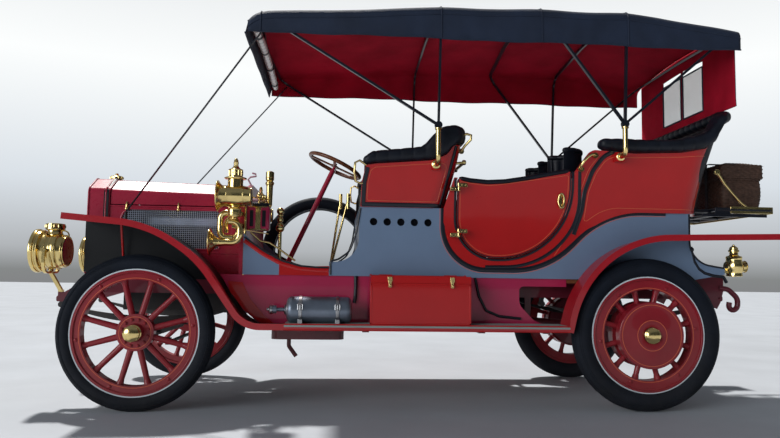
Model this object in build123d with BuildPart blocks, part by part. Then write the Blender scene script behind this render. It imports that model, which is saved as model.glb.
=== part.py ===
"""Open touring car of the brass era, full size, as separate pieces.

Lengths are in millimetres.  The car faces -X, its left side is at -Y, and it
stands on z = 0.  Stations along the car are measured rearward from the front
axle, as a coachbuilder's drawing gives them, and the planes below place them.
"""
import math
import os

from build123d import *

# Driving dimensions
WHEELBASE = 3100
TRACK = 1422
FRONT_AXLE_X = -1699
RAIL_INNER = 345
RAIL_WIDTH = 50
RAIL_BOTTOM = 680
RAIL_TOP = 780
BODY_HALF = 590
BODY_WALL = 20
BODY_BOTTOM = 806
WAIST = 1243
FENDER_OUTER = 805
TOP_HALF = 770

# Wheels: overall radius, section width, rim seat radius, felloe inner radius, spoke root radius
FRONT_TYRE_R = 457
FRONT_TYRE_W = 102
FRONT_SEAT_R = 362
FRONT_FELLOE_R = 310
REAR_TYRE_R = 470
REAR_TYRE_W = 127
REAR_SEAT_R = 350
REAR_FELLOE_R = 280
RIM_DEPTH = 14
RIM_LIP = 5
SPOKES = 12
SPOKE_ROOT_R = 20
SPOKE_TIP_R = 16
HUB_R = 48
HUB_FLANGE_R = 108
HUB_FLANGE_T = 9
HUB_INNER_REACH = 27
HUB_OUTER_REACH = 64
CAP_R = 42
CAP_REACH = 122
RUNNING_FIT = 0.05
FRONT_SPINDLE_R = 20
REAR_SPINDLE_R = 25
DRUM_R = 205
DRUM_W = 70

# Steering gear
KINGPIN_Y = 632
KINGPIN_R = 11
BOSS_R = 28
BOSS_H = 60
LUG_T = 20
LUG_GAP = 0.3
STEER_ARM = 170
STEER_PIN_R = 10
TIE_ROD_R = 11
DRAG_ARM = 110
DRAG_BALL_R = 10
DRAG_SOCKET_R = 20
DRAG_Z = 527
PITMAN = 180
PITMAN_X = 712
PITMAN_Y = 330
BOX_Z = 700
COLUMN_FOOT = (739, 290, 750)
COLUMN_HEAD = (1141, 350, 1645)
STEERING_WHEEL_R = 205
STEERING_RIM_R = 15

# Springs
SPRING_Y = RAIL_INNER + RAIL_WIDTH / 2
SPRING_W = 50
SPRING_HALF = 560
SPRING_EYE_R = 18
SPRING_EYE_Z = 600
SPRING_SAG = 70
SPRING_PACK = 42

# Running gear height
BOARD_TOP = 520
BOARD_T = 36
BOARD_FRONT = 868
BOARD_REAR = WHEELBASE - 512
APRON_Y = 575
APRON_T = 4
FLOOR_HALF = APRON_Y - 1
FENDER_T = 4
LIP_H = 38

# Bonnet and front shell
SHELL_FRONT = -444
SHELL_REAR = -310
SHELL_T = 16
BONNET_REAR = 562
BONNET_HALF = 330
BONNET_T = 4
BONNET_BOTTOM = 930
LID_EDGE = 1250
LID_GAP = 6
BONNET_TOP_FRONT = 1424
BONNET_TOP_REAR = 1405
SHOULDER_Y = 190
SHOULDER_DROP = 84

# Coachwork
DASH_T = 28
DASH_HALF = 560
TUB_WALL = 22
DOOR_GAP = 5
HINGE_Y = 648
HINGE_X = 1928
HINGE_R = 8
FLOOR_T = 20


def side(y, station=0):
    """Upright lengthwise plane at y: first axis rearward from the station, second up, normal to -Y."""
    return Plane(origin=(FRONT_AXLE_X + station, y, 0), x_dir=(1, 0, 0), z_dir=(0, -1, 0))


def cross(station):
    """Upright plane across the car: first axis to +Y, second up, normal rearward."""
    return Plane(origin=(FRONT_AXLE_X + station, 0, 0), x_dir=(0, 1, 0), z_dir=(1, 0, 0))


def level(z):
    """Level plane: first axis rearward from the front axle, second to +Y, normal up."""
    return Plane(origin=(FRONT_AXLE_X, 0, z))


def at(station, y, z):
    """Point given by its station, its side distance and its height."""
    return Vector(FRONT_AXLE_X + station, y, z)


def fill_outline(rows):
    """Face of a closed outline, rows of first axis, second axis and corner radius."""
    with BuildLine() as border:
        FilletPolyline(*[row[:2] for row in rows], radius=[row[2] for row in rows], close=True)
    make_face(border.edges())


def block(station_low, station_high, y_low, y_high, z_low, z_high):
    """Box between its limits, added to the part being built."""
    middle = at((station_low + station_high) / 2, (y_low + y_high) / 2, (z_low + z_high) / 2)
    with Locations(middle):
        Box(station_high - station_low, y_high - y_low, z_high - z_low)


def rod(start, end, radius):
    """Round bar between two points, added to the part being built."""
    with Locations(Plane(origin=start, z_dir=end - start).location):
        Cylinder(radius, (end - start).length, align=(Align.CENTER, Align.CENTER, Align.MIN))


def bar(start, end, width, thickness, flat=(0, 1, 0)):
    """Flat bar between two points; flat is the direction of its width."""
    with Locations(Plane(origin=start, x_dir=flat, z_dir=end - start).location):
        Box(width, thickness, (end - start).length, align=(Align.CENTER, Align.CENTER, Align.MIN))


# Chassis frame: two side rails with dumb irons, cross members and running board irons
DUMB_IRON_BOTTOM = SPRING_EYE_Z + SPRING_EYE_R
RAIL_OUTLINE = (
    # station, height, corner radius
    (-330, RAIL_BOTTOM, 90), (-530, DUMB_IRON_BOTTOM, 10), (-590, DUMB_IRON_BOTTOM, 12),
    (-590, 650, 12), (-440, 740, 90), (-330, RAIL_TOP, 90), (WHEELBASE + 545, RAIL_TOP, 15), (WHEELBASE + 565, 735, 40),
    (WHEELBASE + 690, 705, 12), (WHEELBASE + 690, 668, 12), (WHEELBASE + 590, RAIL_BOTTOM, 60),
)
CROSS_MEMBERS = (-380, BONNET_REAR, 1310, 2000, 2600, WHEELBASE + 500)
BOARD_IRONS = (930, 1330, 2030, BOARD_REAR - 160)
IRON_W = 40
IRON_T = 10
IRON_REACH = 785
LAMP_POST_X = -572
LAMP_SEAT_Z = 678
TOW_EYE = (WHEELBASE + 665, 691)
TOW_EYE_R = 8

with BuildPart() as chassis_frame:
    with BuildSketch(side(-RAIL_INNER)):
        fill_outline(RAIL_OUTLINE)
    extrude(amount=RAIL_WIDTH)
    block(LAMP_POST_X - 14, LAMP_POST_X + 14, -SPRING_Y - 13, -SPRING_Y + 13, DUMB_IRON_BOTTOM + 20, LAMP_SEAT_Z)
    with Locations(Location(at(TOW_EYE[0], -SPRING_Y, TOW_EYE[1]), (90, 0, 0))):
        Cylinder(TOW_EYE_R, 2 * RAIL_WIDTH, mode=Mode.SUBTRACT)
    mirror(about=Plane.XZ)
    for station in CROSS_MEMBERS:
        block(station, station + 50, -RAIL_INNER, RAIL_INNER, RAIL_BOTTOM + 10, RAIL_TOP)

with BuildPart() as board_irons:
    for station in BOARD_IRONS:
        with BuildSketch(cross(station)):
            with BuildLine():
                Polyline((-SPRING_Y, RAIL_BOTTOM), (-SPRING_Y, BOARD_TOP - BOARD_T),
                         (-IRON_REACH, BOARD_TOP - BOARD_T), (-IRON_REACH, BOARD_TOP - BOARD_T - IRON_T),
                         (-SPRING_Y + IRON_T, BOARD_TOP - BOARD_T - IRON_T),
                         (-SPRING_Y + IRON_T, RAIL_BOTTOM), close=True)
            make_face()
        extrude(amount=IRON_W)
    mirror(about=Plane.XZ)

# Front axle: dropped beam with king pin bosses and spring seats
BEAM_W = 48
BEAM_H = 48
BEAM_DROP = 27
FRONT_SPRING_BOTTOM = SPRING_EYE_Z - SPRING_SAG - SPRING_PACK

with BuildPart() as front_axle:
    with BuildSketch(cross(-BEAM_W / 2)):
        with BuildLine():
            FilletPolyline((-KINGPIN_Y, FRONT_TYRE_R), (-500, FRONT_TYRE_R), (-430, FRONT_TYRE_R - BEAM_DROP),
                           (430, FRONT_TYRE_R - BEAM_DROP), (500, FRONT_TYRE_R), (KINGPIN_Y, FRONT_TYRE_R),
                           radius=60)
        trace(line_width=BEAM_H)
    extrude(amount=BEAM_W)
    for end in (-1, 1):
        with Locations(at(0, end * KINGPIN_Y, FRONT_TYRE_R)):
            Cylinder(BOSS_R, BOSS_H)
            Cylinder(KINGPIN_R + RUNNING_FIT, BOSS_H, mode=Mode.SUBTRACT)
        block(-70, 70, end * SPRING_Y - 30, end * SPRING_Y + 30,
              FRONT_TYRE_R - BEAM_DROP, FRONT_SPRING_BOTTOM)

# Springs: leaf packs as crescents with an eye at each end and shackles up to the rails


def leaf_spring(station, bottom, front_hang, rear_hang):
    """Half-elliptic spring pair about a station, with its hangers' upper ends."""
    eye_z = bottom + SPRING_PACK + SPRING_SAG
    with BuildPart() as spring:
        with BuildSketch(side(-SPRING_Y + SPRING_W / 2, station)):
            with BuildLine():
                ThreePointArc((-SPRING_HALF, eye_z), (0, bottom + SPRING_PACK), (SPRING_HALF, eye_z))
                ThreePointArc((SPRING_HALF, eye_z), (0, bottom), (-SPRING_HALF, eye_z))
            make_face()
            with Locations((-SPRING_HALF, eye_z), (SPRING_HALF, eye_z)):
                Circle(SPRING_EYE_R)
        extrude(amount=SPRING_W)
        for end, hang in ((-1, front_hang), (1, rear_hang)):
            block(station + end * SPRING_HALF - 9, station + end * SPRING_HALF + 9,
                  -SPRING_Y - SPRING_W / 2, -SPRING_Y + SPRING_W / 2, eye_z, hang)
        mirror(about=Plane.XZ)
    return spring


REAR_TUBE_R = 38
REAR_SPRING_BOTTOM = REAR_TYRE_R + REAR_TUBE_R + 20

with BuildPart() as springs:
    add(leaf_spring(0, FRONT_SPRING_BOTTOM, DUMB_IRON_BOTTOM, RAIL_BOTTOM).part)
    add(leaf_spring(WHEELBASE, REAR_SPRING_BOTTOM, RAIL_BOTTOM, RAIL_BOTTOM).part)

ENGINE_REAR = 450

# Rear axle: tube, gear case, drive shaft tube, brake plates and spring seats
GEAR_CASE_R = 150
GEAR_CASE_W = 80
PLATE_Y = 612
PLATE_R = 190
SHAFT_R = 30
HALF_TRACK = TRACK / 2
REAR_SPINDLE_END = HALF_TRACK + HUB_OUTER_REACH

with BuildPart() as rear_axle:
    with BuildSketch(Plane(origin=at(WHEELBASE, 0, REAR_TYRE_R), x_dir=(1, 0, 0), z_dir=(0, 0, 1))):
        with BuildLine():
            Polyline((0, 0), (GEAR_CASE_R, 0), (GEAR_CASE_R, -GEAR_CASE_W / 2),
                     (REAR_TUBE_R, -GEAR_CASE_W * 2), (REAR_TUBE_R, -PLATE_Y), (PLATE_R, -PLATE_Y),
                     (PLATE_R, -PLATE_Y - 6), (REAR_SPINDLE_R, -PLATE_Y - 6),
                     (REAR_SPINDLE_R, -REAR_SPINDLE_END), (0, -REAR_SPINDLE_END), close=True)
        make_face()
    revolve(axis=Axis(at(WHEELBASE, 0, REAR_TYRE_R), (0, 1, 0)))
    block(WHEELBASE - 60, WHEELBASE + 60, -SPRING_Y - 30, -SPRING_Y + 30, REAR_TYRE_R, REAR_SPRING_BOTTOM)
    mirror(about=Plane.XZ)
    rod(at(WHEELBASE - 100, 0, REAR_TYRE_R), at(ENGINE_REAR + 2.3, 0, 640), SHAFT_R)

# Engine and gearbox mass under the bonnet, and the boiler casing under the front floor
with BuildPart() as engine_block:
    block(-240, ENGINE_REAR, -180, 180, 560, 1180)
    for station in (-180, 300):
        block(station, station + 80, -RAIL_INNER, RAIL_INNER, 700, 740)

with BuildPart() as boiler_casing:
    block(749, 1227, -320, -60, 385, 670)
    fillet(boiler_casing.edges().filter_by(Axis.Z), 60)
    block(900, 1100, -RAIL_INNER, -100, 670, RAIL_BOTTOM + 8)
    with BuildLine() as pipe_path:
        FilletPolyline(at(860, -190, 385), at(860, -190, 330), at(910, -190, 262), radius=30)
    with BuildSketch(Plane(origin=pipe_path.line @ 0, z_dir=pipe_path.line % 0)):
        Circle(14)
    sweep()

# Wheels: felloe, rim, spokes, hub with brass cap; the rear pair carries brake drums


def hub_plane(x_station, y, z):
    """Plane through a hub centre: first axis is the radius, second the axle."""
    return Plane(origin=at(x_station, y, z), x_dir=(1, 0, 0), z_dir=(0, 0, 1))


def make_wheel(station, hand, tyre_r, seat_r, felloe_r, spindle_r, felloe_w, drum):
    """Artillery wheel on the side that hand names, -1 left and 1 right."""
    half_felloe = felloe_w / 2
    centre = at(station, hand * HALF_TRACK, tyre_r)
    axle = Axis(centre, (0, 1, 0))
    with BuildPart() as wheel:
        for n in range(SPOKES):
            spin = Rotation(0, 360 * (n + 0.5) / SPOKES, 0)
            with Locations(Location(centre) * Location(spin) * Pos(0, 0, (HUB_R + felloe_r) / 2 + 2)):
                Cone(SPOKE_ROOT_R, SPOKE_TIP_R, felloe_r - HUB_R + 12)
        with BuildSketch(hub_plane(station, hand * HALF_TRACK, tyre_r)):
            with BuildLine():
                Polyline((felloe_r, -half_felloe), (seat_r - RIM_DEPTH, -half_felloe),
                         (seat_r - RIM_DEPTH, -half_felloe - RIM_LIP), (seat_r + 4, -half_felloe - RIM_LIP),
                         (seat_r + 4, -half_felloe), (seat_r, -half_felloe), (seat_r, half_felloe),
                         (seat_r + 4, half_felloe), (seat_r + 4, half_felloe + RIM_LIP),
                         (seat_r - RIM_DEPTH, half_felloe + RIM_LIP), (seat_r - RIM_DEPTH, half_felloe),
                         (felloe_r, half_felloe), close=True)
            make_face()
            with BuildLine():
                spoke_half = SPOKE_ROOT_R
                out = hand
                Polyline((spindle_r + RUNNING_FIT, -out * HUB_INNER_REACH), (HUB_R, -out * HUB_INNER_REACH),
                         (HUB_R, -out * (spoke_half + HUB_FLANGE_T)), (HUB_FLANGE_R, -out * (spoke_half + HUB_FLANGE_T)),
                         (HUB_FLANGE_R, out * (spoke_half + HUB_FLANGE_T)), (HUB_R + 6, out * (spoke_half + HUB_FLANGE_T)),
                         (HUB_R, out * HUB_OUTER_REACH), (CAP_R, out * HUB_OUTER_REACH),
                         (CAP_R, out * (CAP_REACH - 14)), (CAP_R - 14, out * CAP_REACH), (0, out * CAP_REACH),
                         (0, out * (HUB_OUTER_REACH + 6)), (spindle_r + RUNNING_FIT, out * (HUB_OUTER_REACH + 6)),
                         close=True)
            make_face()
        revolve(axis=axle)
        if drum:
            with BuildSketch(hub_plane(station, hand * HALF_TRACK, tyre_r)):
                with BuildLine():
                    Polyline((HUB_R, -out * spoke_half), (DRUM_R, -out * spoke_half),
                             (DRUM_R, -out * (spoke_half + DRUM_W)), (DRUM_R - 8, -out * (spoke_half + DRUM_W)),
                             (DRUM_R - 8, -out * (spoke_half + 8)), (HUB_R, -out * (spoke_half + 8)), close=True)
                make_face()
            revolve(axis=axle)
    return wheel


def make_tyre(centre_station, y, z, tyre_r, tyre_w, seat_r, bead_half):
    """Pneumatic tyre: round section with a straight-sided bead."""
    with BuildPart() as tyre:
        with BuildSketch(hub_plane(centre_station, y, z)):
            with Locations((tyre_r - tyre_w / 2, 0)):
                Circle(tyre_w / 2)
            with Locations(((seat_r + tyre_r - tyre_w / 2) / 2, 0)):
                Rectangle(tyre_r - tyre_w / 2 - seat_r, 2 * bead_half)
            with Locations((seat_r / 2, 0)):
                Rectangle(seat_r, tyre_w, mode=Mode.SUBTRACT)
        revolve(axis=Axis(at(centre_station, y, z), (0, 1, 0)))
    return tyre


FRONT_BEAD = 34
REAR_BEAD = 40
WHEEL_ROWS = (
    # corner, station, hand, tyre radius, tyre width, seat radius, felloe radius, spindle radius, bead, drum
    ("front_left", 0, -1, FRONT_TYRE_R, FRONT_TYRE_W, FRONT_SEAT_R, FRONT_FELLOE_R, FRONT_SPINDLE_R, FRONT_BEAD, False),
    ("front_right", 0, 1, FRONT_TYRE_R, FRONT_TYRE_W, FRONT_SEAT_R, FRONT_FELLOE_R, FRONT_SPINDLE_R, FRONT_BEAD, False),
    ("rear_left", WHEELBASE, -1, REAR_TYRE_R, REAR_TYRE_W, REAR_SEAT_R, REAR_FELLOE_R, REAR_SPINDLE_R, REAR_BEAD, True),
    ("rear_right", WHEELBASE, 1, REAR_TYRE_R, REAR_TYRE_W, REAR_SEAT_R, REAR_FELLOE_R, REAR_SPINDLE_R, REAR_BEAD, True),
)
wheels = {}
for corner, station, hand, tyre_r, tyre_w, seat_r, felloe_r, spindle_r, bead, drum in WHEEL_ROWS:
    wheels["wheel_" + corner] = make_wheel(station, hand, tyre_r, seat_r, felloe_r, spindle_r, 2 * bead, drum)
    wheels["tyre_" + corner] = make_tyre(station, hand * HALF_TRACK, tyre_r, tyre_r, tyre_w, seat_r, bead)

# Spare tyres standing on the right running board
SPARE_X = 1026
SPARE_R = FRONT_TYRE_R
SPARE_INNER = APRON_Y + APRON_T + 32 + FRONT_TYRE_W / 2
SPARE_Y = (SPARE_INNER, SPARE_INNER + FRONT_TYRE_W + 2)

with BuildPart() as spare_tyres:
    for y in SPARE_Y:
        add(make_tyre(SPARE_X, y, BOARD_TOP + SPARE_R, SPARE_R, FRONT_TYRE_W, FRONT_SEAT_R, FRONT_BEAD).part)

# Knuckles: yoke round the king pin, spindle, rearward arm; the right one also has the drag arm
ARM_Z = FRONT_TYRE_R - BOSS_H / 2 - LUG_GAP - LUG_T
YOKE_Y = 50


def make_knuckle(hand):
    """Steering knuckle with its king pin on the side that hand names."""
    pin = hand * KINGPIN_Y
    lug_top = FRONT_TYRE_R + BOSS_H / 2 + LUG_GAP + LUG_T
    with BuildPart() as knuckle:
        with Locations(at(0, pin, FRONT_TYRE_R)):
            Cylinder(KINGPIN_R, BOSS_H + 2 * LUG_GAP + 2 * LUG_T)
        for low in (ARM_Z, lug_top - LUG_T):
            with BuildSketch(level(low)):
                with Locations((0, pin)):
                    Circle(BOSS_R)
                with Locations((0, pin + hand * YOKE_Y / 2)):
                    Rectangle(2 * BOSS_R, YOKE_Y)
            extrude(amount=LUG_T)
        block(-BOSS_R, BOSS_R, min(pin + hand * 32, pin + hand * YOKE_Y), max(pin + hand * 32, pin + hand * YOKE_Y),
              ARM_Z, lug_top)
        rod(at(0, pin + hand * 40, FRONT_TYRE_R), at(0, hand * (HALF_TRACK + HUB_OUTER_REACH), FRONT_TYRE_R),
            FRONT_SPINDLE_R)
        with BuildSketch(level(ARM_Z)):
            with Locations((STEER_ARM / 2, pin)):
                Rectangle(STEER_ARM, 26)
            with Locations((STEER_ARM, pin)):
                Circle(18)
        extrude(amount=14)
        with Locations(at(STEER_ARM, pin, ARM_Z - 14)):
            Cylinder(STEER_PIN_R, 28)
        if hand > 0:
            arm_low = lug_top - 14
            with BuildSketch(level(arm_low)):
                with Locations((0, pin - DRAG_ARM / 2)):
                    Rectangle(26, DRAG_ARM)
                with Locations((0, pin - DRAG_ARM)):
                    Circle(16)
            extrude(amount=14)
            with Locations(at(0, pin - DRAG_ARM, lug_top + 12)):
                Cylinder(DRAG_BALL_R, 30)
    return knuckle


knuckle_left = make_knuckle(-1)
knuckle_right = make_knuckle(1)

TIE_EYE_H = 26

with BuildPart() as tie_rod:
    rod_z = ARM_Z - 14
    rod(at(STEER_ARM, -KINGPIN_Y + 12, rod_z), at(STEER_ARM, KINGPIN_Y - 12, rod_z), TIE_ROD_R)
    for end in (-1, 1):
        with Locations(at(STEER_ARM, end * KINGPIN_Y, rod_z)):
            Cylinder(20, TIE_EYE_H)
    for end in (-1, 1):
        with Locations(at(STEER_ARM, end * KINGPIN_Y, rod_z)):
            Cylinder(STEER_PIN_R + RUNNING_FIT, TIE_EYE_H, mode=Mode.SUBTRACT)

with BuildPart() as pitman_arm:
    with BuildSketch(side(PITMAN_Y + 6)):
        with Locations((PITMAN_X, BOX_Z)):
            Circle(24)
        with Locations((PITMAN_X, BOX_Z - PITMAN)):
            Circle(17)
        with Locations((PITMAN_X, BOX_Z - PITMAN / 2)):
            Rectangle(28, PITMAN)
    extrude(amount=12)
    with Locations(Location(at(PITMAN_X, PITMAN_Y, BOX_Z), (90, 0, 0))):
        Hole(12 + RUNNING_FIT)
    rod(at(PITMAN_X, PITMAN_Y, BOX_Z - PITMAN), at(PITMAN_X, PITMAN_Y + 34, BOX_Z - PITMAN),
        STEER_PIN_R)

with BuildPart() as drag_link:
    rear_y = PITMAN_Y + 20
    ball_y = KINGPIN_Y - DRAG_ARM
    rest_y = ball_y + DRAG_ARM * (1 - math.cos(math.radians(30))) / 2
    link_z = BOX_Z - PITMAN
    rod(at(PITMAN_X - 14, rear_y, link_z), at(24, rest_y, link_z), 9)
    with Locations(at(0, rest_y, link_z)):
        Cylinder(DRAG_SOCKET_R + 8, 22)
    with Locations(at(0, rest_y, link_z)):
        Cylinder(DRAG_SOCKET_R, 22, mode=Mode.SUBTRACT)
    with Locations(Location(at(PITMAN_X, rear_y, link_z), (90, 0, 0))):
        Cylinder(18, 22)
        Cylinder(STEER_PIN_R + RUNNING_FIT, 22, mode=Mode.SUBTRACT)

# Steering column with its box on the frame, and the hand wheel
COLUMN_R = 19
BOX_LOW = BOX_Z - 45
BOX_HIGH = BOX_Z + 60
column_foot = at(*COLUMN_FOOT)
column_top = at(*COLUMN_HEAD)
column_dir = (column_top - column_foot).normalized()

with BuildPart() as steering_column:
    block(PITMAN_X - 60, PITMAN_X + 60, 250, PITMAN_Y - 8, BOX_LOW, BOX_HIGH)
    block(PITMAN_X - 60, PITMAN_X - 30, PITMAN_Y - 8, RAIL_INNER, BOX_LOW, BOX_HIGH)
    rod(at(PITMAN_X, PITMAN_Y - 10, BOX_Z), at(PITMAN_X, PITMAN_Y + 6, BOX_Z), 12)
    rod(column_foot, column_top - column_dir * 40, COLUMN_R)
    rod(column_top - column_dir * 60, column_top + column_dir * 20, 10)

with BuildPart() as steering_wheel:
    wheel_plane = Plane(origin=column_top, x_dir=(1, 0, 0), z_dir=column_dir)
    with BuildSketch(Plane(origin=column_top, x_dir=wheel_plane.x_dir, z_dir=wheel_plane.y_dir)):
        with Locations((STEERING_WHEEL_R, 0)):
            Circle(STEERING_RIM_R)
    revolve(axis=Axis(column_top, column_dir))
    with BuildSketch(wheel_plane.offset(-12)):
        Circle(34)
        with PolarLocations(STEERING_WHEEL_R / 2, 4):
            Rectangle(STEERING_WHEEL_R, 20)
        Circle(10 + RUNNING_FIT, mode=Mode.SUBTRACT)
    extrude(amount=12)

# Front shell, its core, and the bonnet: fixed sides, a spine and two lids hinged along it
SPINE_HALF = 5
LID_HINGE_Y = 12
LID_START_Y = 16
LID_PIN_R = 3
LID_BARREL_R = 6
LID_BARRELS = (-250, 150, 400)
LID_BARREL_LENGTH = 90
SHELL_BOTTOM = RAIL_TOP
CORE_RECESS = 14
GRILLE_T = 2
BONNET_WINDOW = (
    # station, height, corner radius
    (-235, 962, 20), (400, 962, 20), (400, 1222, 20), (-235, 1222, 70),
)


def hood_rows(half, top, low, inset):
    """Outline across the bonnet: upright sides, sloped shoulders and a flat top."""
    shoulder = top - SHOULDER_DROP - inset * 0.4
    return ((-half + inset, low, 0), (-half + inset, shoulder, 40), (-SHOULDER_Y, top - inset, 40),
            (SHOULDER_Y, top - inset, 40), (half - inset, shoulder, 40), (half - inset, low, 0))


with BuildPart() as front_shell:
    with BuildSketch(cross(SHELL_FRONT)):
        fill_outline(hood_rows(BONNET_HALF + 8, BONNET_TOP_FRONT + 6, SHELL_BOTTOM, 0))
    extrude(amount=SHELL_REAR - SHELL_FRONT)
    with BuildSketch(cross(SHELL_FRONT)):
        fill_outline(hood_rows(BONNET_HALF + 8, BONNET_TOP_FRONT + 6, SHELL_BOTTOM + SHELL_T, SHELL_T * 2))
    extrude(amount=SHELL_REAR - SHELL_FRONT, mode=Mode.SUBTRACT)
    with Locations(at((SHELL_FRONT + SHELL_REAR) / 2, 0, BONNET_TOP_FRONT + 6)):
        Cylinder(34, 34, align=(Align.CENTER, Align.CENTER, Align.MIN))

with BuildPart() as radiator_core:
    with BuildSketch(cross(SHELL_FRONT + CORE_RECESS)):
        fill_outline(hood_rows(BONNET_HALF + 8, BONNET_TOP_FRONT + 6, SHELL_BOTTOM + SHELL_T, SHELL_T * 2))
    extrude(amount=SHELL_REAR - SHELL_FRONT - 2 * CORE_RECESS)


def hinge_point(station, y):
    """Point of the bonnet's hinge line at a station."""
    share = (station - SHELL_REAR) / (BONNET_REAR - SHELL_REAR)
    return at(station, y, BONNET_TOP_FRONT + share * (BONNET_TOP_REAR - BONNET_TOP_FRONT) - BONNET_T / 2)


with BuildPart() as bonnet_sides:
    block(SHELL_REAR, BONNET_REAR, -BONNET_HALF, -BONNET_HALF + BONNET_T, SHELL_BOTTOM, LID_EDGE - LID_GAP)
    with BuildSketch(side(-BONNET_HALF + BONNET_T)):
        fill_outline(BONNET_WINDOW)
    extrude(amount=BONNET_T, mode=Mode.SUBTRACT)
    rod(hinge_point(SHELL_REAR + 0.3, -LID_HINGE_Y), hinge_point(BONNET_REAR - 0.3, -LID_HINGE_Y), LID_PIN_R)
    mirror(about=Plane.XZ)
    bar(hinge_point(SHELL_REAR + 0.3, 0), hinge_point(BONNET_REAR - 0.3, 0), 2 * SPINE_HALF, 8)
    for station in (SHELL_REAR + 12, 60, BONNET_REAR - 52):
        bar(hinge_point(station, 0), hinge_point(station + 40, 0), 2 * LID_HINGE_Y, 5)

with BuildPart() as bonnet_grilles:
    block(-250, 415, -BONNET_HALF + BONNET_T, -BONNET_HALF + BONNET_T + GRILLE_T, 950, 1234)
    mirror(about=Plane.XZ)


def bonnet_lid(hand):
    """Top lid of the bonnet on the side that hand names."""
    with BuildPart() as lid:
        for station, top in ((SHELL_REAR + LID_GAP, BONNET_TOP_FRONT), (BONNET_REAR - LID_GAP, BONNET_TOP_REAR)):
            shoulder = top - SHOULDER_DROP
            inner = BONNET_HALF - BONNET_T
            rows = ((LID_START_Y, top, 0), (SHOULDER_Y, top, 40), (BONNET_HALF, shoulder, 40),
                    (BONNET_HALF, LID_EDGE, 0), (inner, LID_EDGE, 0), (inner, shoulder - 2, 36),
                    (SHOULDER_Y - 1, top - BONNET_T, 36), (LID_START_Y, top - BONNET_T, 0))
            with BuildSketch(cross(station)):
                fill_outline([(hand * y, z, r) for y, z, r in rows])
        loft(ruled=True)
        for station in LID_BARRELS:
            rod(hinge_point(station, hand * LID_HINGE_Y),
                hinge_point(station + LID_BARREL_LENGTH, hand * LID_HINGE_Y), LID_BARREL_R)
        start = hinge_point(SHELL_REAR, hand * LID_HINGE_Y)
        way = hinge_point(BONNET_REAR, hand * LID_HINGE_Y) - start
        with Locations(Plane(origin=start, z_dir=way).location):
            Cylinder(LID_PIN_R + RUNNING_FIT, way.length, align=(Align.CENTER, Align.CENTER, Align.MIN),
                     mode=Mode.SUBTRACT)
    return lid


bonnet_left = bonnet_lid(-1)
bonnet_right = bonnet_lid(1)

# Dash, floor with its toe board, cowl sides and entry sills
DASH_OUTLINE = (
    # side distance, height, corner radius
    (-DASH_HALF, BODY_BOTTOM, 0), (-DASH_HALF, 1235, 70), (-350, 1348, 60), (-195, 1412, 40),
    (195, 1412, 40), (350, 1348, 60), (DASH_HALF, 1235, 70), (DASH_HALF, BODY_BOTTOM, 0),
)
DASH_REAR = BONNET_REAR + DASH_T
FLOOR_OUTLINE = (
    (DASH_REAR, 1010, 0), (800, BODY_BOTTOM, 0), (3450, BODY_BOTTOM, 0), (3450, RAIL_TOP, 0),
    (BONNET_REAR, RAIL_TOP, 0), (BONNET_REAR, BODY_BOTTOM, 0), (DASH_REAR, BODY_BOTTOM, 0),
)
COWL_OUTLINE = (
    (DASH_REAR, BODY_BOTTOM, 0), (813, BODY_BOTTOM, 0), (813, 884, 0), (707, 950, 300), (DASH_REAR, 1062, 0),
)
SILL_OUTLINE = (
    (813, BODY_BOTTOM, 0), (1122, BODY_BOTTOM, 0), (1122, 866, 0), (900, 858, 200), (813, 884, 0),
)

with BuildPart() as dash:
    with BuildSketch(cross(BONNET_REAR)):
        fill_outline(DASH_OUTLINE)
    extrude(amount=DASH_T)

with BuildPart() as floor:
    with BuildSketch(side(FLOOR_HALF)):
        fill_outline(FLOOR_OUTLINE)
    extrude(amount=2 * FLOOR_HALF)
    for hand in (-1, 1):
        low = min(hand * (BODY_HALF - BODY_WALL), hand * BODY_HALF)
        with Locations(at(DASH_REAR + 150, low + BODY_WALL / 2, BODY_BOTTOM + 150)):
            Box(400, BODY_WALL, 300, mode=Mode.SUBTRACT)
    with Locations(Plane(origin=column_foot, z_dir=column_dir).location):
        Cylinder(COLUMN_R + 4, 500, align=(Align.CENTER, Align.CENTER, Align.MIN), mode=Mode.SUBTRACT)


def side_panels(outline):
    """A pair of flat body side panels from their outline."""
    with BuildPart() as panels:
        with BuildSketch(side(-BODY_HALF + BODY_WALL)):
            fill_outline(outline)
        extrude(amount=BODY_WALL)
        mirror(about=Plane.XZ)
    return panels


entry_sills = side_panels(SILL_OUTLINE)

# Lower body: side panels with the scooped top line, the front seat box and the rear wall
SEAT_BOX_FRONT = 1306
SEAT_BOX_REAR = 1840
REAR_WALL = 3468
SCOOP_Z = 860
SCOOP_DEEP = WAIST - SCOOP_Z
SCOOP = (
    # the curve under the doors
    (SEAT_BOX_REAR, WAIST, 0), (SEAT_BOX_REAR, SCOOP_Z, 0.705 * SCOOP_DEEP),
    (2510, SCOOP_Z - 2, 1.449 * SCOOP_DEEP), (2895, WAIST, 1.5666 * SCOOP_DEEP),
)
LOWER_OUTLINE = (
    (1122, BODY_BOTTOM, 0), (1122, 893, 4), (SEAT_BOX_FRONT, 893, 150), (SEAT_BOX_FRONT, WAIST, 0),
) + SCOOP + (
    (REAR_WALL, WAIST, 0), (REAR_WALL, 903, 165), (3695, 897, 0), (3695, 850, 0), (3450, BODY_BOTTOM, 0),
)
REAR_WALL_OUTLINE = (
    (REAR_WALL - BODY_WALL, WAIST, 0), (REAR_WALL, WAIST, 0), (REAR_WALL, 903, 165), (3695, 897, 0),
    (3695, 877, 0), (REAR_WALL - BODY_WALL, 883, 185),
)
BOX_HALF = BODY_HALF - BODY_WALL
REAR_SEAT_FRONT = 2960
REAR_BOX_TOP = WAIST - 63

VENT_X = 1569
VENT_Z = 1150
VENT_PITCH = 86.5
VENT_COUNT = 5
VENT_R = 24

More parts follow.
